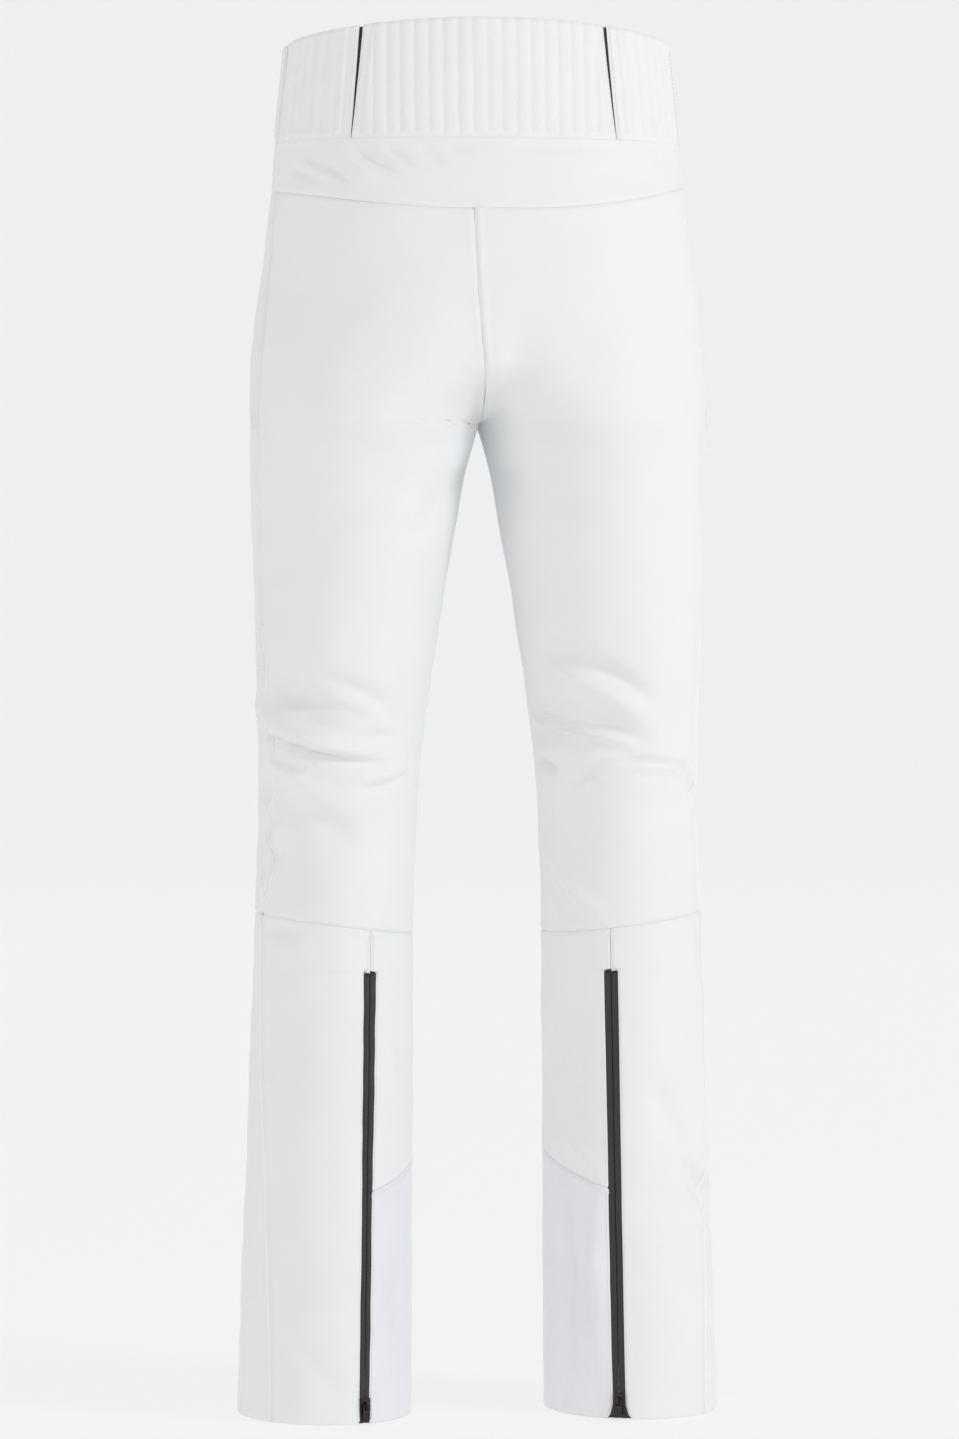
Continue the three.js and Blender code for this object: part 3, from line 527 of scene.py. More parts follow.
class Shader:
    """A small wrapper that adds and links the nodes of one material."""

    def __init__(self, name, colour, roughness, metallic=0.0, sheen=0.0):
        self.material = bpy.data.materials.new(name)
        self.material.use_nodes = True
        self.tree = self.material.node_tree
        self.bsdf = self.tree.nodes["Principled BSDF"]
        self.colour = (*colour, 1)
        self.bsdf.inputs["Base Color"].default_value = self.colour
        self.bsdf.inputs["Roughness"].default_value = roughness
        self.bsdf.inputs["Metallic"].default_value = metallic
        self.bsdf.inputs["Sheen Weight"].default_value = sheen
        self.bsdf.inputs["Sheen Roughness"].default_value = 0.5
        self.heights = []

    def node(self, kind, **settings):
        node = self.tree.nodes.new(kind)
        for key, value in settings.items():
            if key in node.inputs:
                node.inputs[key].default_value = value
            else:
                setattr(node, key, value)
        return node

    def link(self, source, target):
        self.tree.links.new(source, target)

    def place(self, turn=(0, 0, 0), scale=(1, 1, 1)):
        """The place in space on the piece, in metres, turned and scaled."""
        source = self.node("ShaderNodeTexCoord").outputs["Object"]
        mapping = self.node("ShaderNodeMapping", Rotation=turn, Scale=scale)
        self.link(source, mapping.inputs["Vector"])
        return mapping.outputs["Vector"]

    def cloth_place(self, turn=0):
        """The place on the cloth map, in metres, turned by an angle in degrees."""
        source = self.node("ShaderNodeUVMap", uv_map="cloth").outputs["UV"]
        mapping = self.node("ShaderNodeMapping", Rotation=(0, 0, math.radians(turn)))
        self.link(source, mapping.inputs["Vector"])
        return mapping.outputs["Vector"]

    def waves(self, vector, pitch, depth, distortion=0.4, profile="SIN"):
        wave = self.node("ShaderNodeTexWave", Scale=0.314 / pitch, Distortion=distortion, Detail=1.0)
        wave.bands_direction = "X"
        wave.wave_profile = profile
        self.link(vector, wave.inputs["Vector"])
        self.heights.append((wave.outputs["Fac"], depth))
        return wave.outputs["Fac"]

    def noise(self, vector, size, depth=0.0, detail=3.0):
        noise = self.node("ShaderNodeTexNoise", Scale=1 / size, Detail=detail)
        self.link(vector, noise.inputs["Vector"])
        if depth:
            self.heights.append((noise.outputs["Fac"], depth))
        return noise.outputs["Fac"]

    def tint(self, fac, dark=0.93, low_end=0.3, high_end=0.7):
        """Mixes the base colour with a darker one where the given factor is low."""
        ramp = self.node("ShaderNodeValToRGB")
        ramp.color_ramp.elements[0].position = low_end
        ramp.color_ramp.elements[1].position = high_end
        ramp.color_ramp.elements[0].color = (*[c * dark for c in self.colour[:3]], 1)
        ramp.color_ramp.elements[1].color = self.colour
        self.link(fac, ramp.inputs["Fac"])
        return ramp.outputs["Color"]

    def blend_colours(self, first, second):
        mix = self.node("ShaderNodeMix", data_type="RGBA")
        mix.inputs[0].default_value = 0.5
        self.link(first, mix.inputs[6])
        self.link(second, mix.inputs[7])
        self.link(mix.outputs[2], self.bsdf.inputs["Base Color"])

    def colour_from(self, output):
        self.link(output, self.bsdf.inputs["Base Color"])

    def rough_from(self, fac, least, most):
        span = self.node("ShaderNodeMapRange")
        span.inputs["To Min"].default_value = least
        span.inputs["To Max"].default_value = most
        self.link(fac, span.inputs["Value"])
        self.link(span.outputs["Result"], self.bsdf.inputs["Roughness"])

    def done(self):
        """Adds the heights up through chained bumps and returns the material."""
        normal = None
        for fac, depth in self.heights:
            bump = self.node("ShaderNodeBump", Strength=1.0, Distance=depth)
            self.link(fac, bump.inputs["Height"])
            if normal is not None:
                self.link(normal, bump.inputs["Normal"])
            normal = bump.outputs["Normal"]
        if normal is not None:
            self.link(normal, self.bsdf.inputs["Normal"])
        return self.material


def stretch_twill(name, colour, dark=0.955):
    """Smooth four-way stretch shell: fine steep twill lines, crossed by a fainter weft, with soft sheen."""
    shader = Shader(name, colour, 0.62, sheen=0.18)
    lines = shader.waves(shader.cloth_place(turn=63), 0.62 * MM, 0.045 * MM)
    shader.waves(shader.cloth_place(turn=90), 0.45 * MM, 0.02 * MM)
    patches = shader.noise(shader.place(), 60 * MM, detail=4)
    shader.noise(shader.place(), 1.6 * MM, 0.05 * MM)
    shader.blend_colours(shader.tint(lines, 0.972, 0.1, 0.9), shader.tint(patches, dark))
    shader.rough_from(patches, 0.55, 0.7)
    return shader.done()


def rib_knit(name, colour):
    """The padded waistband cloth: the same twill, softer, with a little fuzz."""
    shader = Shader(name, colour, 0.68, sheen=0.22)
    lines = shader.waves(shader.cloth_place(turn=63), 0.62 * MM, 0.05 * MM)
    patches = shader.noise(shader.place(), 22 * MM, detail=4)
    shader.noise(shader.place(), 1.2 * MM, 0.06 * MM)
    shader.blend_colours(shader.tint(lines, 0.968, 0.1, 0.9), shader.tint(patches, 0.96))
    return shader.done()


def guard_weave(name, colour):
    """Coated plain weave of the ankle guard: tight square grid, cooler and a little shinier."""
    shader = Shader(name, colour, 0.48, sheen=0.08)
    warp = shader.waves(shader.cloth_place(), 0.8 * MM, 0.07 * MM)
    shader.waves(shader.cloth_place(turn=90), 0.8 * MM, 0.07 * MM)
    patches = shader.noise(shader.place(), 45 * MM, detail=5)
    shader.noise(shader.place(), 5 * MM, 0.12 * MM)
    shader.blend_colours(shader.tint(warp, 0.96, 0.1, 0.9), shader.tint(patches, 0.95))
    shader.rough_from(patches, 0.4, 0.56)
    return shader.done()


def lining_knit(name, colour):
    """Brushed inner face: fine wales up the leg and a soft nap."""
    shader = Shader(name, colour, 0.85, sheen=0.4)
    wales = shader.waves(shader.cloth_place(), 1.1 * MM, 0.12 * MM)
    nap = shader.noise(shader.place(), 2.2 * MM, 0.15 * MM)
    shader.blend_colours(shader.tint(wales, 0.93, 0.1, 0.9), shader.tint(nap, 0.94))
    return shader.done()


def gaiter_ripstop(name, colour):
    """Thin gaiter cloth: plain weave with a raised thread every 5 mm both ways."""
    shader = Shader(name, colour, 0.5, sheen=0.05)
    for turn in (0, 90):
        shader.waves(shader.cloth_place(turn=turn), 5 * MM, 0.12 * MM, distortion=0.1, profile="SAW")
        shader.waves(shader.cloth_place(turn=turn), 0.5 * MM, 0.03 * MM)
    crinkle = shader.noise(shader.place(), 9 * MM, 0.5 * MM, detail=5)
    shader.colour_from(shader.tint(crinkle, 0.93))
    return shader.done()


def elastic_web(name, colour):
    """Woven elastic: cords running round it and a close zigzag binding."""
    shader = Shader(name, colour, 0.7, sheen=0.15)
    cords = shader.waves(shader.cloth_place(turn=90), 2.2 * MM, 0.35 * MM, distortion=0.1)
    binding = shader.waves(shader.cloth_place(turn=35), 0.9 * MM, 0.12 * MM)
    shader.blend_colours(shader.tint(cords, 0.8, 0.1, 0.9), shader.tint(binding, 0.88))
    return shader.done()


def stretch_mesh(name, colour):
    """Black stretch mesh in the waist vents."""
    shader = Shader(name, colour, 0.75, sheen=0.2)
    holes = shader.node("ShaderNodeTexVoronoi", Scale=900.0, Randomness=0.3)
    shader.link(shader.place(), holes.inputs["Vector"])
    shader.heights.append((holes.outputs["Distance"], -0.2 * MM))
    shader.colour_from(shader.tint(holes.outputs["Distance"], 0.35, 0.15, 0.6))
    return shader.done()


def coated_tape(name, colour):
    """Matt coated zip lips: smooth film over a fine woven tape."""
    shader = Shader(name, colour, 0.46, sheen=0.05)
    shader.waves(shader.cloth_place(turn=90), 0.7 * MM, 0.03 * MM)
    shader.waves(shader.cloth_place(), 0.9 * MM, 0.04 * MM)
    scuffs = shader.noise(shader.place(), 7 * MM, 0.05 * MM, detail=5)
    shader.colour_from(shader.tint(scuffs, 0.75))
    shader.rough_from(scuffs, 0.38, 0.55)
    return shader.done()


def nylon_coil(name, colour):
    shader = Shader(name, colour, 0.35)
    grain = shader.noise(shader.place(), 0.8 * MM, 0.03 * MM)
    shader.colour_from(shader.tint(grain, 0.8))
    shader.rough_from(grain, 0.28, 0.44)
    return shader.done()


def plated_metal(name, colour, roughness, wear=0.8):
    """Cast and plated trim: faint orange peel, brushed lines and slightly worn, uneven colour."""
    shader = Shader(name, colour, roughness, metallic=1.0)
    shader.noise(shader.place(), 0.9 * MM, 0.015 * MM, detail=4)
    brushed = shader.noise(shader.place(scale=(1, 1, 0.08)), 0.25 * MM, 0.006 * MM)
    worn = shader.noise(shader.place(), 2.5 * MM, detail=5)
    shader.blend_colours(shader.tint(worn, wear), shader.tint(brushed, 0.92))
    shader.rough_from(worn, roughness * 0.75, roughness * 1.35)
    return shader.done()


WHITE = (0.85, 0.864, 0.876)
CLOTH = {
    "shell_fabric": stretch_twill("shell_fabric", WHITE),
    "rib_fabric": rib_knit("rib_fabric", WHITE),
    "guard_fabric": guard_weave("guard_fabric", (0.845, 0.86, 0.888)),
    "lining_fabric": lining_knit("lining_fabric", (0.74, 0.735, 0.72)),
    "gaiter_fabric": gaiter_ripstop("gaiter_fabric", (0.78, 0.785, 0.79)),
    "elastic_webbing": elastic_web("elastic_webbing", (0.72, 0.72, 0.71)),
    "vent_mesh": stretch_mesh("vent_mesh", (0.016, 0.016, 0.018)),
    "zip_tape": coated_tape("zip_tape", (0.02, 0.02, 0.022)),
    "zip_coil": nylon_coil("zip_coil", (0.012, 0.012, 0.013)),
    "zip_metal": plated_metal("zip_metal", (0.05, 0.045, 0.042), 0.32),
    "snap_metal": plated_metal("snap_metal", (0.62, 0.61, 0.58), 0.24, 0.85),
    "hook_steel": plated_metal("hook_steel", (0.5, 0.5, 0.5), 0.3),
}
THREAD = Shader("sewing_thread", (0.84, 0.84, 0.83), 0.6, sheen=0.3)
THREAD.waves(THREAD.place(turn=(0.6, 0.5, 0)), 0.25 * MM, 0.05 * MM)
THREAD.colour_from(THREAD.tint(THREAD.noise(THREAD.place(), 3 * MM), 0.9))
THREAD = THREAD.done()
# The side welt's cloth: the shell twill made lighter, a painted highlight so the welt shows as a bright lit
# line.
WELT_PAINTED_HIGHLIGHT = stretch_twill("side_welt_painted_highlight", (0.91, 0.918, 0.92), dark=0.985)


# ---- seams: stitches and cloth maps --------------------------------------------------

def map_cloth(piece, u, v):
    """A cloth map in metres, across and up the cloth, for the weave."""
    layer = piece.data.uv_layers.new(name="cloth")
    index = np.empty(len(piece.data.loops), dtype=np.int32)
    piece.data.loops.foreach_get("vertex_index", index)
    places = np.stack([np.ravel(u)[index], np.ravel(v)[index]], -1)
    layer.data.foreach_set("uv", places.ravel().astype(np.float32))


def along(path, step):
    """Points at even steps along a polyline."""
    lengths = np.concatenate([[0], np.cumsum(np.linalg.norm(np.diff(path, axis=0), axis=1))])
    marks = np.arange(0, lengths[-1], step)
    return np.stack([np.interp(marks, lengths, path[:, k]) for k in range(3)], -1)


def stitch_row(path, pitch=3.2 * MM, radius=0.26 * MM, share=0.66):
    """Short thread capsules along a seam path, their ends dipping into the cloth."""
    verts, faces = [], []
    points = along(path, pitch)
    for start, end in zip(points[:-1], points[1:]):
        stop = start + (end - start) * share
        line = np.array([start, start * 0.8 + stop * 0.2, start * 0.2 + stop * 0.8, stop])
        ring, sides = tube(line, np.array([0.35, 1, 1, 0.35]) * radius, sides=5)
        faces += [tuple(len(verts) + i for i in face) for face in sides]
        verts += list(ring)
    return verts, faces


def add_stitches(name, paths, body="garment"):
    verts, faces = [], []
    for path in paths:
        more, sides = stitch_row(path)
        faces += [tuple(len(verts) + i for i in face) for face in sides]
        verts += more
    piece = new_piece(name, verts, faces, [THREAD], body)
    return piece


def trace(panel, edge, distance, lift=0.1 * MM):
    """A line on the panel, a set distance in from one of its edges."""
    points = panel.points() + panel.normal * lift
    grid = getattr(panel, f"from_{edge}")
    if edge in ("foot", "top"):
        points, grid = points.swapaxes(0, 1), grid.T
    line = []
    for row, marks in zip(points, grid):
        order = np.argsort(marks)
        line.append([np.interp(distance, marks[order], row[order, k]) for k in range(3)])
    return mirrored(np.array(line), panel.side)


# ---- body panels ---------------------------------------------------------------------

def arc_rate(angle, z):
    """Metres of cloth for each radian round the leg."""
    _, a, b = section(np.asarray(angle, dtype=float), z)
    return np.hypot(a * np.sin(angle), b * np.cos(angle))


def zip_half(side, z):
    """Half the width of the black zip: it narrows downward, and the right one flares at its foot."""
    foot = {"left": 3.9, "right": 4.6}[side]
    half = np.interp(z / MM, [0, 150, ZIP_TOP / MM], [foot, foot, 5.1])
    if side == "right":
        half = half + 4.6 * np.clip(1 - z / MM / 13, 0, 1) ** 1.5
    return half * MM


def zip_edge(side, sign):
    """The cloth edge beside the calf zip. Above the zip the two edges meet in a short seam."""
    def edge(z):
        closed = np.clip((z - ZIP_TOP) / (0.5 * MM), 0, 1)
        half = zip_half(side, z) * (1 - closed) + 0.12 * MM * closed
        return ZIP + sign * half / arc_rate(ZIP, z)
    return edge


def seam_side(side):
    return soft_line(lambda z: side_seam(side, z))


def middle_line(z):
    return angle_at_x(0.0, z, 1)


def centre_line(sign, side="left"):
    return lambda z: centre_angle(z, sign, side)


def fly_half(z):
    return 0.1 * MM + 4.9 * MM * np.clip((z - FLY_FOOT) / (6 * MM), 0, 1) ** 0.6


def fly_edge(z):
    return angle_at_x(fly_half(z), z, -1)


def level(height):
    return lambda angle: np.full(np.shape(angle), height)[()]


def shifted(line, offset):
    return lambda value: line(value) + offset


def near_centre(angle, z):
    """Fades to 0 at the inseam and at the centre seams, so that neighbouring panels meet."""
    centre = np.abs(angle_at_x(0.0, z, 1) * (angle >= 0) + angle_at_x(0.0, z, -1) * (angle < 0))
    return eased((centre - np.abs(angle)) / 0.16)


def fold_lift(side, angle, z):
    return body_folds(side, angle, z) * near_centre(angle, z)


def folded(panel):
    return panel.lifted(fold_lift(panel.side, panel.angle, panel.z))


def ridge(distance, place, width, rise):
    return rise * MM * np.exp(-((distance - place * MM) / (width * MM)) ** 2)


def cloth_panel(name, panel, slot="shell_fabric", body="garment", **settings):
    piece = panel_piece(f"{name}_cloth", panel, [name], slot, body, **settings)
    map_cloth(piece, panel.from_start, panel.from_foot)
    return piece


def side_welts(side, calf, seat):
    """The corded welt beside the side seam, from the hem to a little above the knee seam; its cloth is a
    lighter copy of the shell, a painted highlight so it reads as a bright lit line.
    """
    above = trace(seat, "start", 1.7 * MM, 0.5 * MM)
    knee = above[above[:, 2] < KNEE_SEAM + 40 * MM]
    for name, path in (("calf", trace(calf, "start", 1.8 * MM, 0.4 * MM)), ("knee", knee)):
        verts, faces = tube(path[1:-1], 0.95 * MM)
        new_piece(f"side_welt_{name}_{side}", verts, faces, [WELT_PAINTED_HIGHLIGHT])


SEAM_GAP = 0.006  # radians: the open groove of the side seam behind the front panels


def legs(side):
    seam = seam_side(side)
    outer_zip, inner_zip = zip_edge(side, -1), zip_edge(side, 1)
    inseam = level(math.pi)

    shin = folded(Panel(side, level(-math.pi), seam, level(0.0), calf_line))
    shin.rolled(start=0.8, stop=1.0, foot=0.7, top=0.8)
    cloth_panel(f"shin_{side}", shin)

    knee = folded(Panel(side, level(-math.pi), seam, calf_line, level(KNEE_SEAM)))
    knee.rolled(start=0.8, stop=0.8, foot=1.0, top=0.5)
    cloth_panel(f"knee_{side}", knee)

    thigh = folded(Panel(side, centre_front, seam, level(KNEE_SEAM), yoke_line(side)))
    thigh.rolled(start=0.8, stop=1.4, foot=0.5, top=0.8).lifted(ridge(thigh.from_stop, 2.6, 1.2, 0.9))
    cloth_panel(f"front_thigh_{side}", thigh)

    seat = folded(Panel(side, shifted(seam, SEAM_GAP), centre_line(1, side), calf_line, yoke_line(side),
                        step=2.6 * MM))
    seat.rolled(start=1.6, stop=0.6, foot=1.2, top=0.9)
    if side == "right":
        above_fork = np.clip((seat.z - CROTCH) / (30 * MM), 0, 1)
        seat.lifted(ridge(seat.from_stop, 3.2, 1.5, 0.9) * above_fork)
    cloth_panel(f"seat_{side}", seat)

    outer = folded(Panel(side, seam, outer_zip, level(0.0), calf_line, step=2.6 * MM, cut=ZIP_TOP))
    outer.rolled(start=1.0, stop=0.7, foot=0.7, top=1.1).lifted(ridge(outer.from_start, 2.5, 1.2, 1.7))
    cloth_panel(f"calf_outer_{side}", outer)

    inner = folded(Panel(side, inner_zip, inseam, guard_line, calf_line, step=2.4 * MM, cut=ZIP_TOP))
    inner.rolled(start=0.7, stop=0.8, foot=0.5, top=1.1)
    piece = cloth_panel(f"calf_inner_{side}", inner, body=None)
    flap_blend(piece)

    guard = folded(Panel(side, inner_zip, inseam, level(0.0), guard_line, step=2.4 * MM))
    guard.rolled(start=0.6, stop=0.7, foot=0.6, top=0.3).lifted(ridge(guard.from_top, 1.8, 1.4, 0.5))
    piece = cloth_panel(f"scuff_guard_{side}", guard, slot="guard_fabric", body=None)
    flap_blend(piece)

    side_welts(side, outer, seat)
    add_stitches(f"stitches_{side}", [trace(outer, "stop", 2.4 * MM), trace(thigh, "foot", 2.4 * MM)])
    rows = [trace(inner, "start", 2.4 * MM), trace(guard, "start", 2.4 * MM), trace(guard, "top", 2.2 * MM)]
    sewn = add_stitches(f"stitches_flap_{side}", rows, None)
    flap_blend(sewn)


def centre_front(z):
    return np.where(z < FLY_FOOT, centre_angle(z, -1), fly_edge(z))


def flap_blend(piece):
    """Bakes the piece's placement into its mesh."""
    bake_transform(piece)


# ---- yoke and waistband --------------------------------------------------------------

def two_halves(left, right):
    """The grids of a left and a right panel side by side, meeting on the centre back."""
    other = mirrored(right.points(), "right")[:, ::-1]
    points = np.concatenate([mirrored(left.points(), "left"), other[:, 1:]], axis=1)
    points[:, left.angle.shape[1] - 1, 0] = 0
    return points


def grid_piece(name, points, nodes, slot, body="garment", thickness=CLOTH_THICK,
               sheet=True, inside="lining_fabric"):
    rows, columns = points.shape[:2]
    cloths = [CLOTH[slot], CLOTH[inside]]
    piece = new_piece(name, points.reshape(-1, 3), grid_faces(rows, columns), cloths, body)
    finish_cloth(piece, nodes, thickness)
    across = np.linalg.norm(np.diff(points, axis=1), axis=2)
    up = np.linalg.norm(np.diff(points, axis=0), axis=2)
    u = np.concatenate([np.zeros((rows, 1)), np.cumsum(across, axis=1)], axis=1)
    v = np.concatenate([np.zeros((1, columns)), np.cumsum(up, axis=0)], axis=0)
    map_cloth(piece, u, v)
    if sheet:
        width, length = u[:, -1].max(), v[-1].max()
        declare_sheet(width, length, float(u[:, -1].mean() * v[-1].mean()))
    return piece


def yoke_folds(panel):
    wrinkles = fold_field(YOKE_FOLDS, panel.side, panel.angle, panel.z)
    slow = 0.6 * MM * ripple(panel.angle, panel.z, 9)
    below_band = np.clip(panel.from_top / (5 * MM), 0, 1)
    return panel.lifted((wrinkles + slow) * near_centre(panel.angle, panel.z) * below_band)


def yoke():
    halves = []
    for side in SIDES:
        seam = seam_side(side)
        back = yoke_folds(Panel(side, seam, middle_line, yoke_line(side), level(BAND_FOOT), step=2.2 * MM,
                                tall=42 * MM))
        halves.append(back.rolled(start=0.8, foot=0.9))
        front = yoke_folds(Panel(side, fly_edge, seam, yoke_line(side), level(BAND_FOOT)))
        cloth_panel(f"yoke_front_{side}", front.rolled(start=0.8, stop=0.7, foot=0.8))
    grid_piece("yoke_back_cloth", two_halves(*halves), ["yoke_back"], "shell_fabric")


RIB_PITCH = 11 * MM
VENT_STRIP = 7.5 * MM


def vent_half(z):
    """Half the black gap that shows at a vent: it narrows from the top to a point at its foot."""
    share = np.clip((z - BAND_FOOT) / (BAND_TOP_SIDE - BAND_FOOT), 0, 1.3)
    return (0.15 + 1.25 * share ** 0.7) * MM


def beside_vent(angle, sign):
    return lambda z: angle + sign * vent_half(z) / arc_rate(angle, z)


def ribs(panel, across, from_strips, seed):
    """Padded ribs: round tops and narrow valleys, each a little uneven, fading out at the foot."""
    draw = np.random.default_rng(seed)
    number = np.round(across / RIB_PITCH).astype(int)
    height = 0.85 + 0.3 * draw.random(80)[number + 40]
    end = 3 * MM * draw.random(80)[number + 40]
    wander = 0.5 * MM * ripple(across * 4, panel.z, seed)
    profile = np.abs(np.cos(math.pi * (across + wander) / RIB_PITCH)) ** 0.62
    fade = eased((panel.z - BAND_FOOT - end) / (3.5 * MM))
    beside = eased((from_strips - VENT_STRIP) / (2.2 * MM))
    low_strip = -0.2 * MM * np.exp(-((from_strips - VENT_STRIP) / (1.4 * MM)) ** 2)
    return panel.lifted((1.25 * MM * height * profile * beside + low_strip) * fade)


def waistband():
    halves = []
    for side in SIDES:
        back_vent, side_vent = BACK_VENT[side], SIDE_VENT[side]
        to_centre = Panel(side, beside_vent(back_vent, 1), middle_line, level(BAND_FOOT), top_line,
                          step=1.1 * MM, tall=90 * MM)
        ribs(to_centre, to_centre.from_stop * SIDES[side], to_centre.from_start, 21)
        halves.append(to_centre.rolled(start=0.8, top=0.9))

        hip = Panel(side, beside_vent(side_vent, 1), beside_vent(back_vent, -1), level(BAND_FOOT), top_line,
                    step=1.1 * MM)
        ribs(hip, hip.from_stop - VENT_STRIP, np.minimum(hip.from_start, hip.from_stop), 22)
        cloth_panel(f"waistband_side_{side}", hip.rolled(start=0.7, stop=0.8, top=0.9), "rib_fabric",
                    thickness=RIB_THICK)

        edge = {"left": 34.6, "right": 26.6}[side] * MM
        front = Panel(side, lambda z, edge=edge: angle_at_x(edge, z, -1), beside_vent(side_vent, -1),
                      level(BAND_FOOT), top_line, step=1.2 * MM)
        ribs(front, front.from_stop, np.minimum(front.from_start + 4 * MM, front.from_stop), 23)
        cloth_panel(f"waistband_front_{side}", front.rolled(start=0.8, stop=0.7, top=0.9), "rib_fabric",
                    thickness=RIB_THICK)

        for name, angle in (("back", back_vent), ("side", side_vent)):
            vent(side, name, angle)
        edges = ((to_centre, "start"), (hip, "stop"), (hip, "start"), (front, "stop"), (front, "start"))
        add_stitches(f"stitches_waist_{side}", [trace(panel, edge, 2.2 * MM) for panel, edge in edges])
    grid_piece("waistband_back_cloth", two_halves(*halves), ["waistband_back"], "rib_fabric",
               thickness=RIB_THICK)


def vent(side, name, angle):
    """A wedge of black mesh under the edges of the two cloths."""
    reach = 2.2 * MM

    def edge(sign):
        return lambda z: angle + sign * (vent_half(z) + reach) / arc_rate(angle, z)
    gusset = Panel(side, edge(-1), edge(1), level(BAND_FOOT + 2 * MM), shifted(top_line, -1.5 * MM),
                   step=0.8 * MM, inset=1.0 * MM)
    gusset.lifted(-0.5 * MM * np.exp(-((gusset.from_start - gusset.from_stop) / (2.5 * MM)) ** 2))
    points = mirrored(gusset.points(), side)
    grid_piece(f"vent_{name}_{side}_mesh", points if side == "left" else points[:, ::-1],
               [f"vent_{name}_{side}"], "vent_mesh", thickness=0.5 * MM, sheet=False, inside="vent_mesh")


def front_grid(xs, feet, tops, inset, rows):
    """A grid across the centre front: columns at the given x, rows from each column's foot to its top."""
    t = np.linspace(0, 1, rows)[:, None]
    z = feet[None, :] + (tops - feet)[None, :] * t
    x = np.broadcast_to(xs[None, :], z.shape)
    points = skin(angle_at_x(np.abs(x), z, -1), z, inset)
    points[..., 0] = x
    return points


def facing():
    """The soft facing inside the waistband, open at the centre front behind the tab."""
    inset = 3.2 * MM
    halves = []
    for side in SIDES:
        start = {"left": 44, "right": 22}[side] * MM
        half = Panel(side, lambda z, x=start: angle_at_x(x, z, -1, inset), middle_line,
                     level(low("waist_facing") + 1 * MM), shifted(top_line, -1.2 * MM), step=4 * MM,
                     inset=inset, tall=90 * MM)
        puffs = 0.35 * MM * np.cos(half.from_stop / (RIB_PITCH * 2) * 2 * math.pi) ** 2
        halves.append(half.lifted(puffs + 0.5 * MM * ripple(half.angle, half.z, 31)))
    points = two_halves(*halves)
    piece = grid_piece("waist_facing_cloth", points[:, ::-1], ["waist_facing"], "lining_fabric",
                       thickness=0.9 * MM)
    piece.modifiers["thickness"].offset = 1


def fly_guard():
    low_corner, high_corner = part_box("fly_guard")
    xs = np.linspace(low_corner[0], high_corner[0], 60)
    feet = np.full(60, low_corner[2])
    feet = feet + 14 * MM * np.clip(1 - (xs - xs[0]) / (16 * MM), 0, 1) ** 2
    tops = np.full(60, high_corner[2] - 1.5 * MM)
    points = front_grid(xs, feet, tops, 0, 90)
    step = np.clip((xs - 24 * MM) / (10 * MM), 0, 1)
    points[..., 1] += (4.6 * MM + (2.4 - 4.6) * MM * step)[None, :]
    points[..., 1] += 0.35 * MM * ripple(points[..., 0] * 10, points[..., 2], 41)
    grid_piece("fly_guard_cloth", points, ["fly_guard"], "lining_fabric", thickness=0.8 * MM)


def waist_tab():
    """The closing tab: a rounded free end, turned edges and a row of stitches all round."""
    low_corner, high_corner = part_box("waist_tab")
    corner = 9 * MM
    xs = low_corner[0] + (high_corner[0] - low_corner[0]) * spread(60 * MM, 1.3 * MM)
    free = np.clip(corner - (xs[-1] - xs), 0, corner)
    pull_in = corner - np.sqrt(corner ** 2 - free ** 2 * 0.995)
    foot, top = low_corner[2] + 0.5 * MM, high_corner[2] - 1 * MM
    points = front_grid(xs, foot + pull_in, top - pull_in, 0, 56)
    height = points[..., 2]
    edge = np.minimum(np.minimum(height - height[0], height[-1] - height), xs[-1] - points[..., 0])
    lift = edge_roll(edge, 0.7 * MM, 1.1 * MM) + 0.9 * MM
    points[..., 1] -= lift
    grid_piece("waist_tab_cloth", points, ["waist_tab"], "shell_fabric", "waist_tab", thickness=2.2 * MM)
    inside = 3 * MM
    loop = [points[r, c] for r, c in tab_outline(points, xs, inside)]
    add_stitches("stitches_tab", [np.array(loop) + np.array([0, -0.15 * MM, 0])], "waist_tab")


def tab_outline(points, xs, inside):
    """Grid places a set distance in from the tab's edge, once round three of its sides."""
    rows, columns = points.shape[:2]
    last = int(np.searchsorted(xs, xs[-1] - inside))
    span = points[-1, columns // 2, 2] - points[0, columns // 2, 2]
    r = max(1, round(inside / span * (rows - 1)))
    bottom = [(r, c) for c in range(2, last)]
    end = [(k, last) for k in range(r, rows - r)]
    top = [(rows - 1 - r, c) for c in range(last, 1, -1)]
    return bottom + end + top


# ---- zips ----------------------------------------------------------------------------

LIP_THICK = 0.6 * MM
COIL_SIDE = 1.15 * MM
COIL_DEPTH = 1.9 * MM
COIL_RADIUS = 0.8 * MM
COIL_PITCH = 1.3 * MM
COIL_THREAD = 0.2 * MM


def lip(side, sign, foot, top):
    """One coated lip of the calf zip: it starts under the cloth edge and turns down at the middle."""
    rows = np.arange(foot, top, 2.5 * MM)[:, None]
    shares = np.array([0, 0.14, 0.26, 0.4, 0.55, 0.7, 0.82, 0.9, 0.96, 1.0])[None, :]
    outside = zip_half(side, rows) + 1.3 * MM
    offset = outside * (1 - shares) + 0.12 * MM * shares
    depth = 0.75 * (1 - shares) ** 4 + 0.05 + 0.75 * shares ** 7
    angle = ZIP + sign * offset / arc_rate(ZIP, rows)
    base = skin(angle, rows + 0 * shares)
    normal = grid_normals(base if sign < 0 else base[:, ::-1])
    normal = normal if sign < 0 else normal[:, ::-1]
    points = base + normal * (fold_lift(side, angle, rows + 0 * shares) - depth * MM)[..., None]
    return points if sign < 0 else points[:, ::-1]


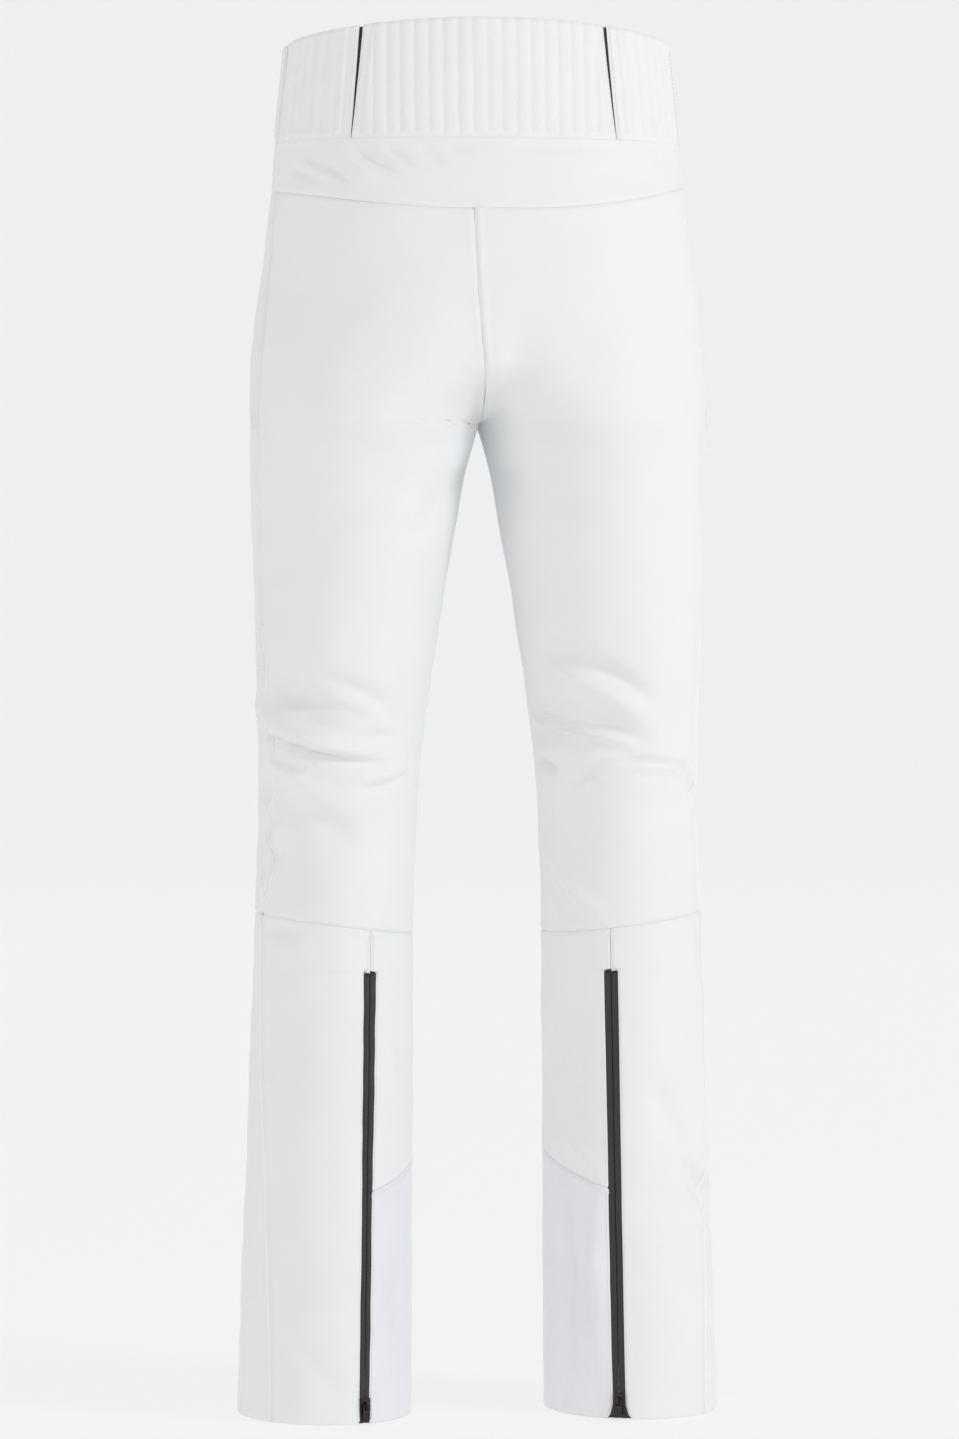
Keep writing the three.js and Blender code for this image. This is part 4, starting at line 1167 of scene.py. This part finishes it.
def coil(middle, across, outward):
    """One side of the coil: a flat helix along the middle line, beside the meeting line."""
    points = along(middle, COIL_PITCH / 8)
    turn = np.arange(len(points)) * 2 * math.pi / 8
    wide = np.cos(turn)[:, None] * across * 1.25 * COIL_RADIUS
    deep = np.sin(turn)[:, None] * outward * 0.8 * COIL_RADIUS
    return tube(points + wide + deep, COIL_THREAD, sides=4)


def calf_zip(side):
    foot, top = 0.8 * MM, ZIP_TOP + 0.5 * MM
    zs = np.arange(2 * MM, ZIP_TOP - 4 * MM, 4 * MM)
    line = skin(np.full(zs.shape, ZIP), zs)
    outward = np.array([math.cos(ZIP) * 0.0875, math.sin(ZIP) * 0.0675, 0])
    outward /= np.linalg.norm(outward)
    across = np.cross([0, 0, 1], outward)
    lift = fold_lift(side, np.full(zs.shape, ZIP), zs)[:, None]
    for place, sign in (("outer", -1), ("inner", 1)):
        points = mirrored(lip(side, sign, foot, top), side)
        points = points if side == "left" else points[:, ::-1]
        body = "garment" if place == "outer" else None
        tape = grid_piece(f"calf_lip_{place}_{side}", points, [f"calf_tape_{place}_{side}"], "zip_tape",
                          body, thickness=LIP_THICK, sheet=False, inside="zip_tape")
        middle = line + outward * (lift - COIL_DEPTH) + across * sign * COIL_SIDE
        verts, faces = coil(middle, across, outward)
        teeth = new_piece(f"calf_teeth_{place}_{side}", mirrored(verts, side),
                          faces if side == "left" else [f[::-1] for f in faces], [CLOTH["zip_coil"]], body)
        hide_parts(f"calf_coil_{place}_{side}")
        if place == "inner":
            flap_blend(tape)
            flap_blend(teeth)


def fly_zip():
    foot, top = low("fly_tape_left"), high("fly_tape_left")
    zs = np.arange(foot, top, 3 * MM)
    for side, sign in (("left", 1), ("right", -1)):
        shares = np.array([0, 0.1, 0.22, 0.36, 0.5, 0.65, 0.8, 0.9, 0.96, 1.0])
        depth = (0.05 + 0.75 * shares[::-1] ** 7 + 0.75 * (1 - shares[::-1]) ** 4) * MM
        xs = 0.12 * MM + 6.2 * MM * shares
        points = front_grid(xs, np.full(10, foot), np.full(10, top), 0, len(zs))
        points[..., 1] += depth[None, :]
        if sign < 0:
            points = (points * np.array([-1, 1, 1]))[:, ::-1]
        grid_piece(f"fly_lip_{side}", points, [f"fly_tape_{side}"], "zip_tape", thickness=LIP_THICK,
                   sheet=False, inside="zip_tape")
        line = front_grid(np.array([0.1 * MM]), np.array([foot]), np.array([top]), 0, len(zs))[:, 0]
        middle = line + np.array([sign * COIL_SIDE, COIL_DEPTH, 0])
        verts, faces = coil(middle, np.array([1.0, 0, 0]), np.array([0, -1.0, 0]))
        teeth = new_piece(f"fly_teeth_{side}", verts, faces, [CLOTH["zip_coil"]])
        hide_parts(f"fly_coil_{side}")


# ---- trims ---------------------------------------------------------------------------

BODY_OF = {node: body for body, nodes in frame["record"]["behaviour"]["bodies"].items() for node in nodes}


def softened(node, slot, width=0.3 * MM):
    """A copy of a hard frame part with its edges rounded."""
    mesh = frame["nodes"][node].data.copy()
    mesh.name = f"{node}_shape"
    mesh.materials.clear()
    mesh.materials.append(CLOTH[slot])
    piece = bpy.data.objects.new(f"{node}_trim", mesh)
    bpy.context.scene.collection.objects.link(piece)
    weld = piece.modifiers.new("weld", "WELD")
    weld.merge_threshold = 0.01 * MM
    bevel = piece.modifiers.new("bevel", "BEVEL")
    bevel.width = width
    bevel.segments = 3
    bevel.limit_method = "ANGLE"
    bevel.angle_limit = math.radians(35)
    bevel.use_clamp_overlap = True
    mesh.polygons.foreach_set("use_smooth", [True] * len(mesh.polygons))
    bevel.harden_normals = True
    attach(piece, BODY_OF[node])
    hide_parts(node)
    return piece


def lathe(centre, axis, profile, sides=48):
    """A turned part: profile is (radius, height) from the rim to the middle."""
    axis = np.asarray(axis) / np.linalg.norm(axis)
    across = np.cross(axis, [0, 0, 1.0])
    across /= np.linalg.norm(across)
    other = np.cross(axis, across)
    turn = np.linspace(0, 2 * math.pi, sides, endpoint=False)
    ring = across[None] * np.cos(turn)[:, None] + other[None] * np.sin(turn)[:, None]
    verts = [np.asarray(centre) + ring * r * MM + axis * h * MM for r, h in profile]
    verts = np.concatenate(verts)
    faces = grid_faces(len(profile), sides, closed=True)
    faces.append(tuple(range(sides))[::-1])
    faces.append(tuple(len(verts) - sides + i for i in range(sides)))
    return verts, faces


def snap():
    low_corner, high_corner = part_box("snap_cap")
    centre = [(l + h) / 2 for l, h in zip(low_corner, high_corner)]
    centre[1] -= 0.6 * MM
    profile = [(6.9, -1.1), (7.4, -0.7), (7.45, -0.1), (7.1, 0.45), (6.5, 0.62), (5.9, 0.5), (5.5, 0.2),
               (5.2, 0.25), (4.6, 0.7), (3.5, 1.05), (2.2, 1.25), (0.9, 1.32), (0.2, 1.33)]
    verts, faces = lathe(centre, [0.12, -1, 0.06], profile)
    cap = new_piece("snap_cap_dome", verts, faces, [CLOTH["snap_metal"]], "waist_tab")
    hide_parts("snap_cap")


def hanger_loop(side):
    """A narrow ribbon folded into a loop and sewn inside the waist."""
    low_corner, high_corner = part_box(f"hanger_loop_{side}")
    x = (low_corner[0] + high_corner[0]) / 2
    middle = (low_corner[1] + high_corner[1]) / 2
    half, width = (high_corner[1] - low_corner[1]) / 2 - 2 * MM, 3.6 * MM
    turn = np.linspace(0, math.pi, 17)
    foot = low_corner[2] + half + 2 * MM
    top = high_corner[2] - 1 * MM
    side_z = np.linspace(top, foot, 14)
    path = [(half, z) for z in side_z]
    path += [(half * math.cos(t), foot - half * math.sin(t)) for t in turn[1:-1]]
    path += [(-half, z) for z in side_z[::-1]]
    path = np.array(path)
    tangent = np.gradient(path, axis=0)
    tangent /= np.linalg.norm(tangent, axis=1, keepdims=True)
    normal = np.stack([-tangent[:, 1], tangent[:, 0]], -1)
    slope = (high_corner[0] - low_corner[0] - 1 * MM) / (high_corner[2] - low_corner[2]) * -SIDES[side]
    across = np.linspace(-0.5, 0.5, 5)
    rows = []
    for share in across:
        yz = path + normal * share * width
        bulge = 0.25 * MM * (1 - (2 * share) ** 2)
        xs = x + (yz[:, 1] - (low_corner[2] + high_corner[2]) / 2) * slope - SIDES[side] * bulge
        rows.append(np.stack([xs, middle + yz[:, 0], yz[:, 1]], -1))
    grid_piece(f"hanger_loop_{side}_ribbon", np.array(rows), [f"hanger_loop_{side}"], "lining_fabric",
               thickness=0.6 * MM, sheet=False)


# ---- snow gaiters --------------------------------------------------------------------

def ring_points(zs, insets, gathers, seed, columns=220):
    angle = np.linspace(-math.pi, math.pi, columns, endpoint=False)[None, :]
    draw = np.random.default_rng(seed)
    phases = draw.uniform(0, 6.3, 4)
    counts = np.array([31, 37, 44, 19])
    wave = sum(np.sin(n * angle + p) for n, p in zip(counts, phases)) / 3
    z = np.asarray(zs)[:, None] + 0 * angle
    return skin(angle + 0 * z, z, np.asarray(insets)[:, None] - np.asarray(gathers)[:, None] * wave)


def ring_piece(name, points, node, side, slot, thickness, tall):
    rows, columns = points.shape[:2]
    around = np.linalg.norm(np.diff(points, axis=1), axis=2).sum(1)
    flat = (float(around.max()), float(tall))
    faces = grid_faces(rows, columns, closed=True)
    if side == "right":
        faces = [face[::-1] for face in faces]
    piece = new_piece(name, mirrored(points, side).reshape(-1, 3), faces, [CLOTH[slot], CLOTH[slot]])
    finish_cloth(piece, [node], thickness)
    turn = np.linspace(0, flat[0], columns, endpoint=False)[None, :] + np.zeros((rows, 1))
    up = points[..., 2]
    map_cloth(piece, turn, up)
    return piece


def gaiter(side):
    """An inner cuff that narrows to an elastic, its cloth gathered above it."""
    foot, top = low(f"gaiter_{side}"), high(f"gaiter_{side}")
    band_low, band_high = low(f"gaiter_elastic_{side}"), high(f"gaiter_elastic_{side}")
    zs = np.linspace(foot, top, 90)
    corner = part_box(f"gaiter_elastic_{side}")
    reach = corner[1][0] if side == "left" else -corner[0][0]
    inset = float(np.interp((band_low + band_high) / 2, GRID, OUTER)) - reach
    insets = np.interp(zs, [foot, top - 27 * MM, top], [inset, 5.5 * MM, 3.2 * MM])
    share = np.clip(1 - (zs - foot) / (150 * MM), 0, 1)
    gathers = 0.35 * MM + 1.5 * MM * share ** 1.6
    gathers = np.where(zs > top - 27 * MM, 0.2 * MM, gathers)
    points = ring_points(zs, insets, gathers, 51)
    ring_piece(f"gaiter_{side}_cloth", points, f"gaiter_{side}", side, "gaiter_fabric", 0.5 * MM,
               top - foot)
    zs = np.linspace(band_low, band_high, 30)
    cords = 0.35 * MM * np.abs(np.sin((zs - band_low) / (2.9 * MM) * math.pi))
    points = ring_points(zs, inset - cords, np.full(30, 0.5 * MM), 52)
    ring_piece(f"gaiter_elastic_{side}_web", points, f"gaiter_elastic_{side}", side, "elastic_webbing",
               1.2 * MM, band_high - band_low)


# ---- the studio ----------------------------------------------------------------------

def studio():
    """A pale floor that rises all round into a pale wall, with a large soft light and a fill."""
    flat, bend, sides = 6.0, 3.0, 96
    profile = [(2.0, 0.0), (4.0, 0.0), (flat, 0.0)]
    for t in np.linspace(0, math.pi / 2, 13)[1:]:
        profile.append((flat + bend * math.sin(t), bend - bend * math.cos(t)))
    profile += [(flat + bend, 5.0), (flat + bend, 8.0)]
    turn = np.linspace(0, 2 * math.pi, sides, endpoint=False)
    verts = [(r * math.cos(t), r * math.sin(t), z - 0.2 * MM) for r, z in profile for t in turn]
    faces = [face[::-1] for face in grid_faces(len(profile), sides, closed=True)]
    faces.append(tuple(range(sides)))
    mesh = bpy.data.meshes.new("studio_floor")
    mesh.from_pydata(verts, [], faces)
    mesh.polygons.foreach_set("use_smooth", [True] * len(mesh.polygons))
    shader = Shader("studio_paper", (0.2, 0.2, 0.2), 0.95)
    shader.bsdf.inputs["Emission Color"].default_value = (1, 1, 1, 1)
    shader.bsdf.inputs["Emission Strength"].default_value = 0.70
    mesh.materials.append(shader.material)
    floor = bpy.data.objects.new("studio_floor", mesh)
    bpy.context.scene.collection.objects.link(floor)

    bpy.context.scene.view_settings.view_transform = "Standard"
    world = bpy.data.worlds.new("studio_air")
    bpy.context.scene.world = world
    world.use_nodes = True
    world.node_tree.nodes["Background"].inputs["Color"].default_value = (1, 1, 1, 1)
    world.node_tree.nodes["Background"].inputs["Strength"].default_value = 0.5
    soft_light("key", (-3.6, 2.6, 2.6), (1.2, 1.6), 60, (1, 1, 1))
    soft_light("fill", (2.8, 2.2, 1.4), (1.4, 2.0), 10, (1.0, 0.93, 0.82))


def soft_light(name, place, size, power, colour):
    lamp = bpy.data.lights.new(name, "AREA")
    lamp.shape = "RECTANGLE"
    lamp.size, lamp.size_y = size
    lamp.energy = power
    lamp.color = colour
    holder = bpy.data.objects.new(name, lamp)
    holder.location = place
    holder.rotation_euler = (Vector((0, 0, 0.6)) - Vector(place)).to_track_quat("-Z", "Y").to_euler()
    bpy.context.scene.collection.objects.link(holder)


def camera():
    azimuth, distance, height = math.radians(172), 5.0, 0.682
    lens = bpy.data.cameras.new("camera")
    lens.lens = 158
    lens.sensor_width = 36
    holder = bpy.data.objects.new("camera", lens)
    target = Vector((-1.6 * MM, 0, 0.5465))
    holder.location = (math.sin(azimuth) * distance, -math.cos(azimuth) * distance, height)
    holder.rotation_euler = (target - holder.location).to_track_quat("-Z", "Y").to_euler()
    bpy.context.scene.collection.objects.link(holder)
    bpy.context.scene.camera = holder


# ---- build ---------------------------------------------------------------------------

camera()
studio()
for name in SIDES:
    legs(name)
    calf_zip(name)
    hanger_loop(name)
    gaiter(name)
    softened(f"calf_slider_{name}", "zip_metal")
    softened(f"calf_pull_{name}", "zip_metal")
    softened(f"calf_zip_stop_{name}", "zip_metal")
    softened(f"boot_hook_{name}", "hook_steel", 0.25 * MM)
yoke()
waistband()
facing()
fly_guard()
waist_tab()
fly_zip()
for name in ("fly_slider", "fly_pull", "fly_stop"):
    softened(name, "zip_metal")
softened("snap_stud", "snap_metal")
snap()
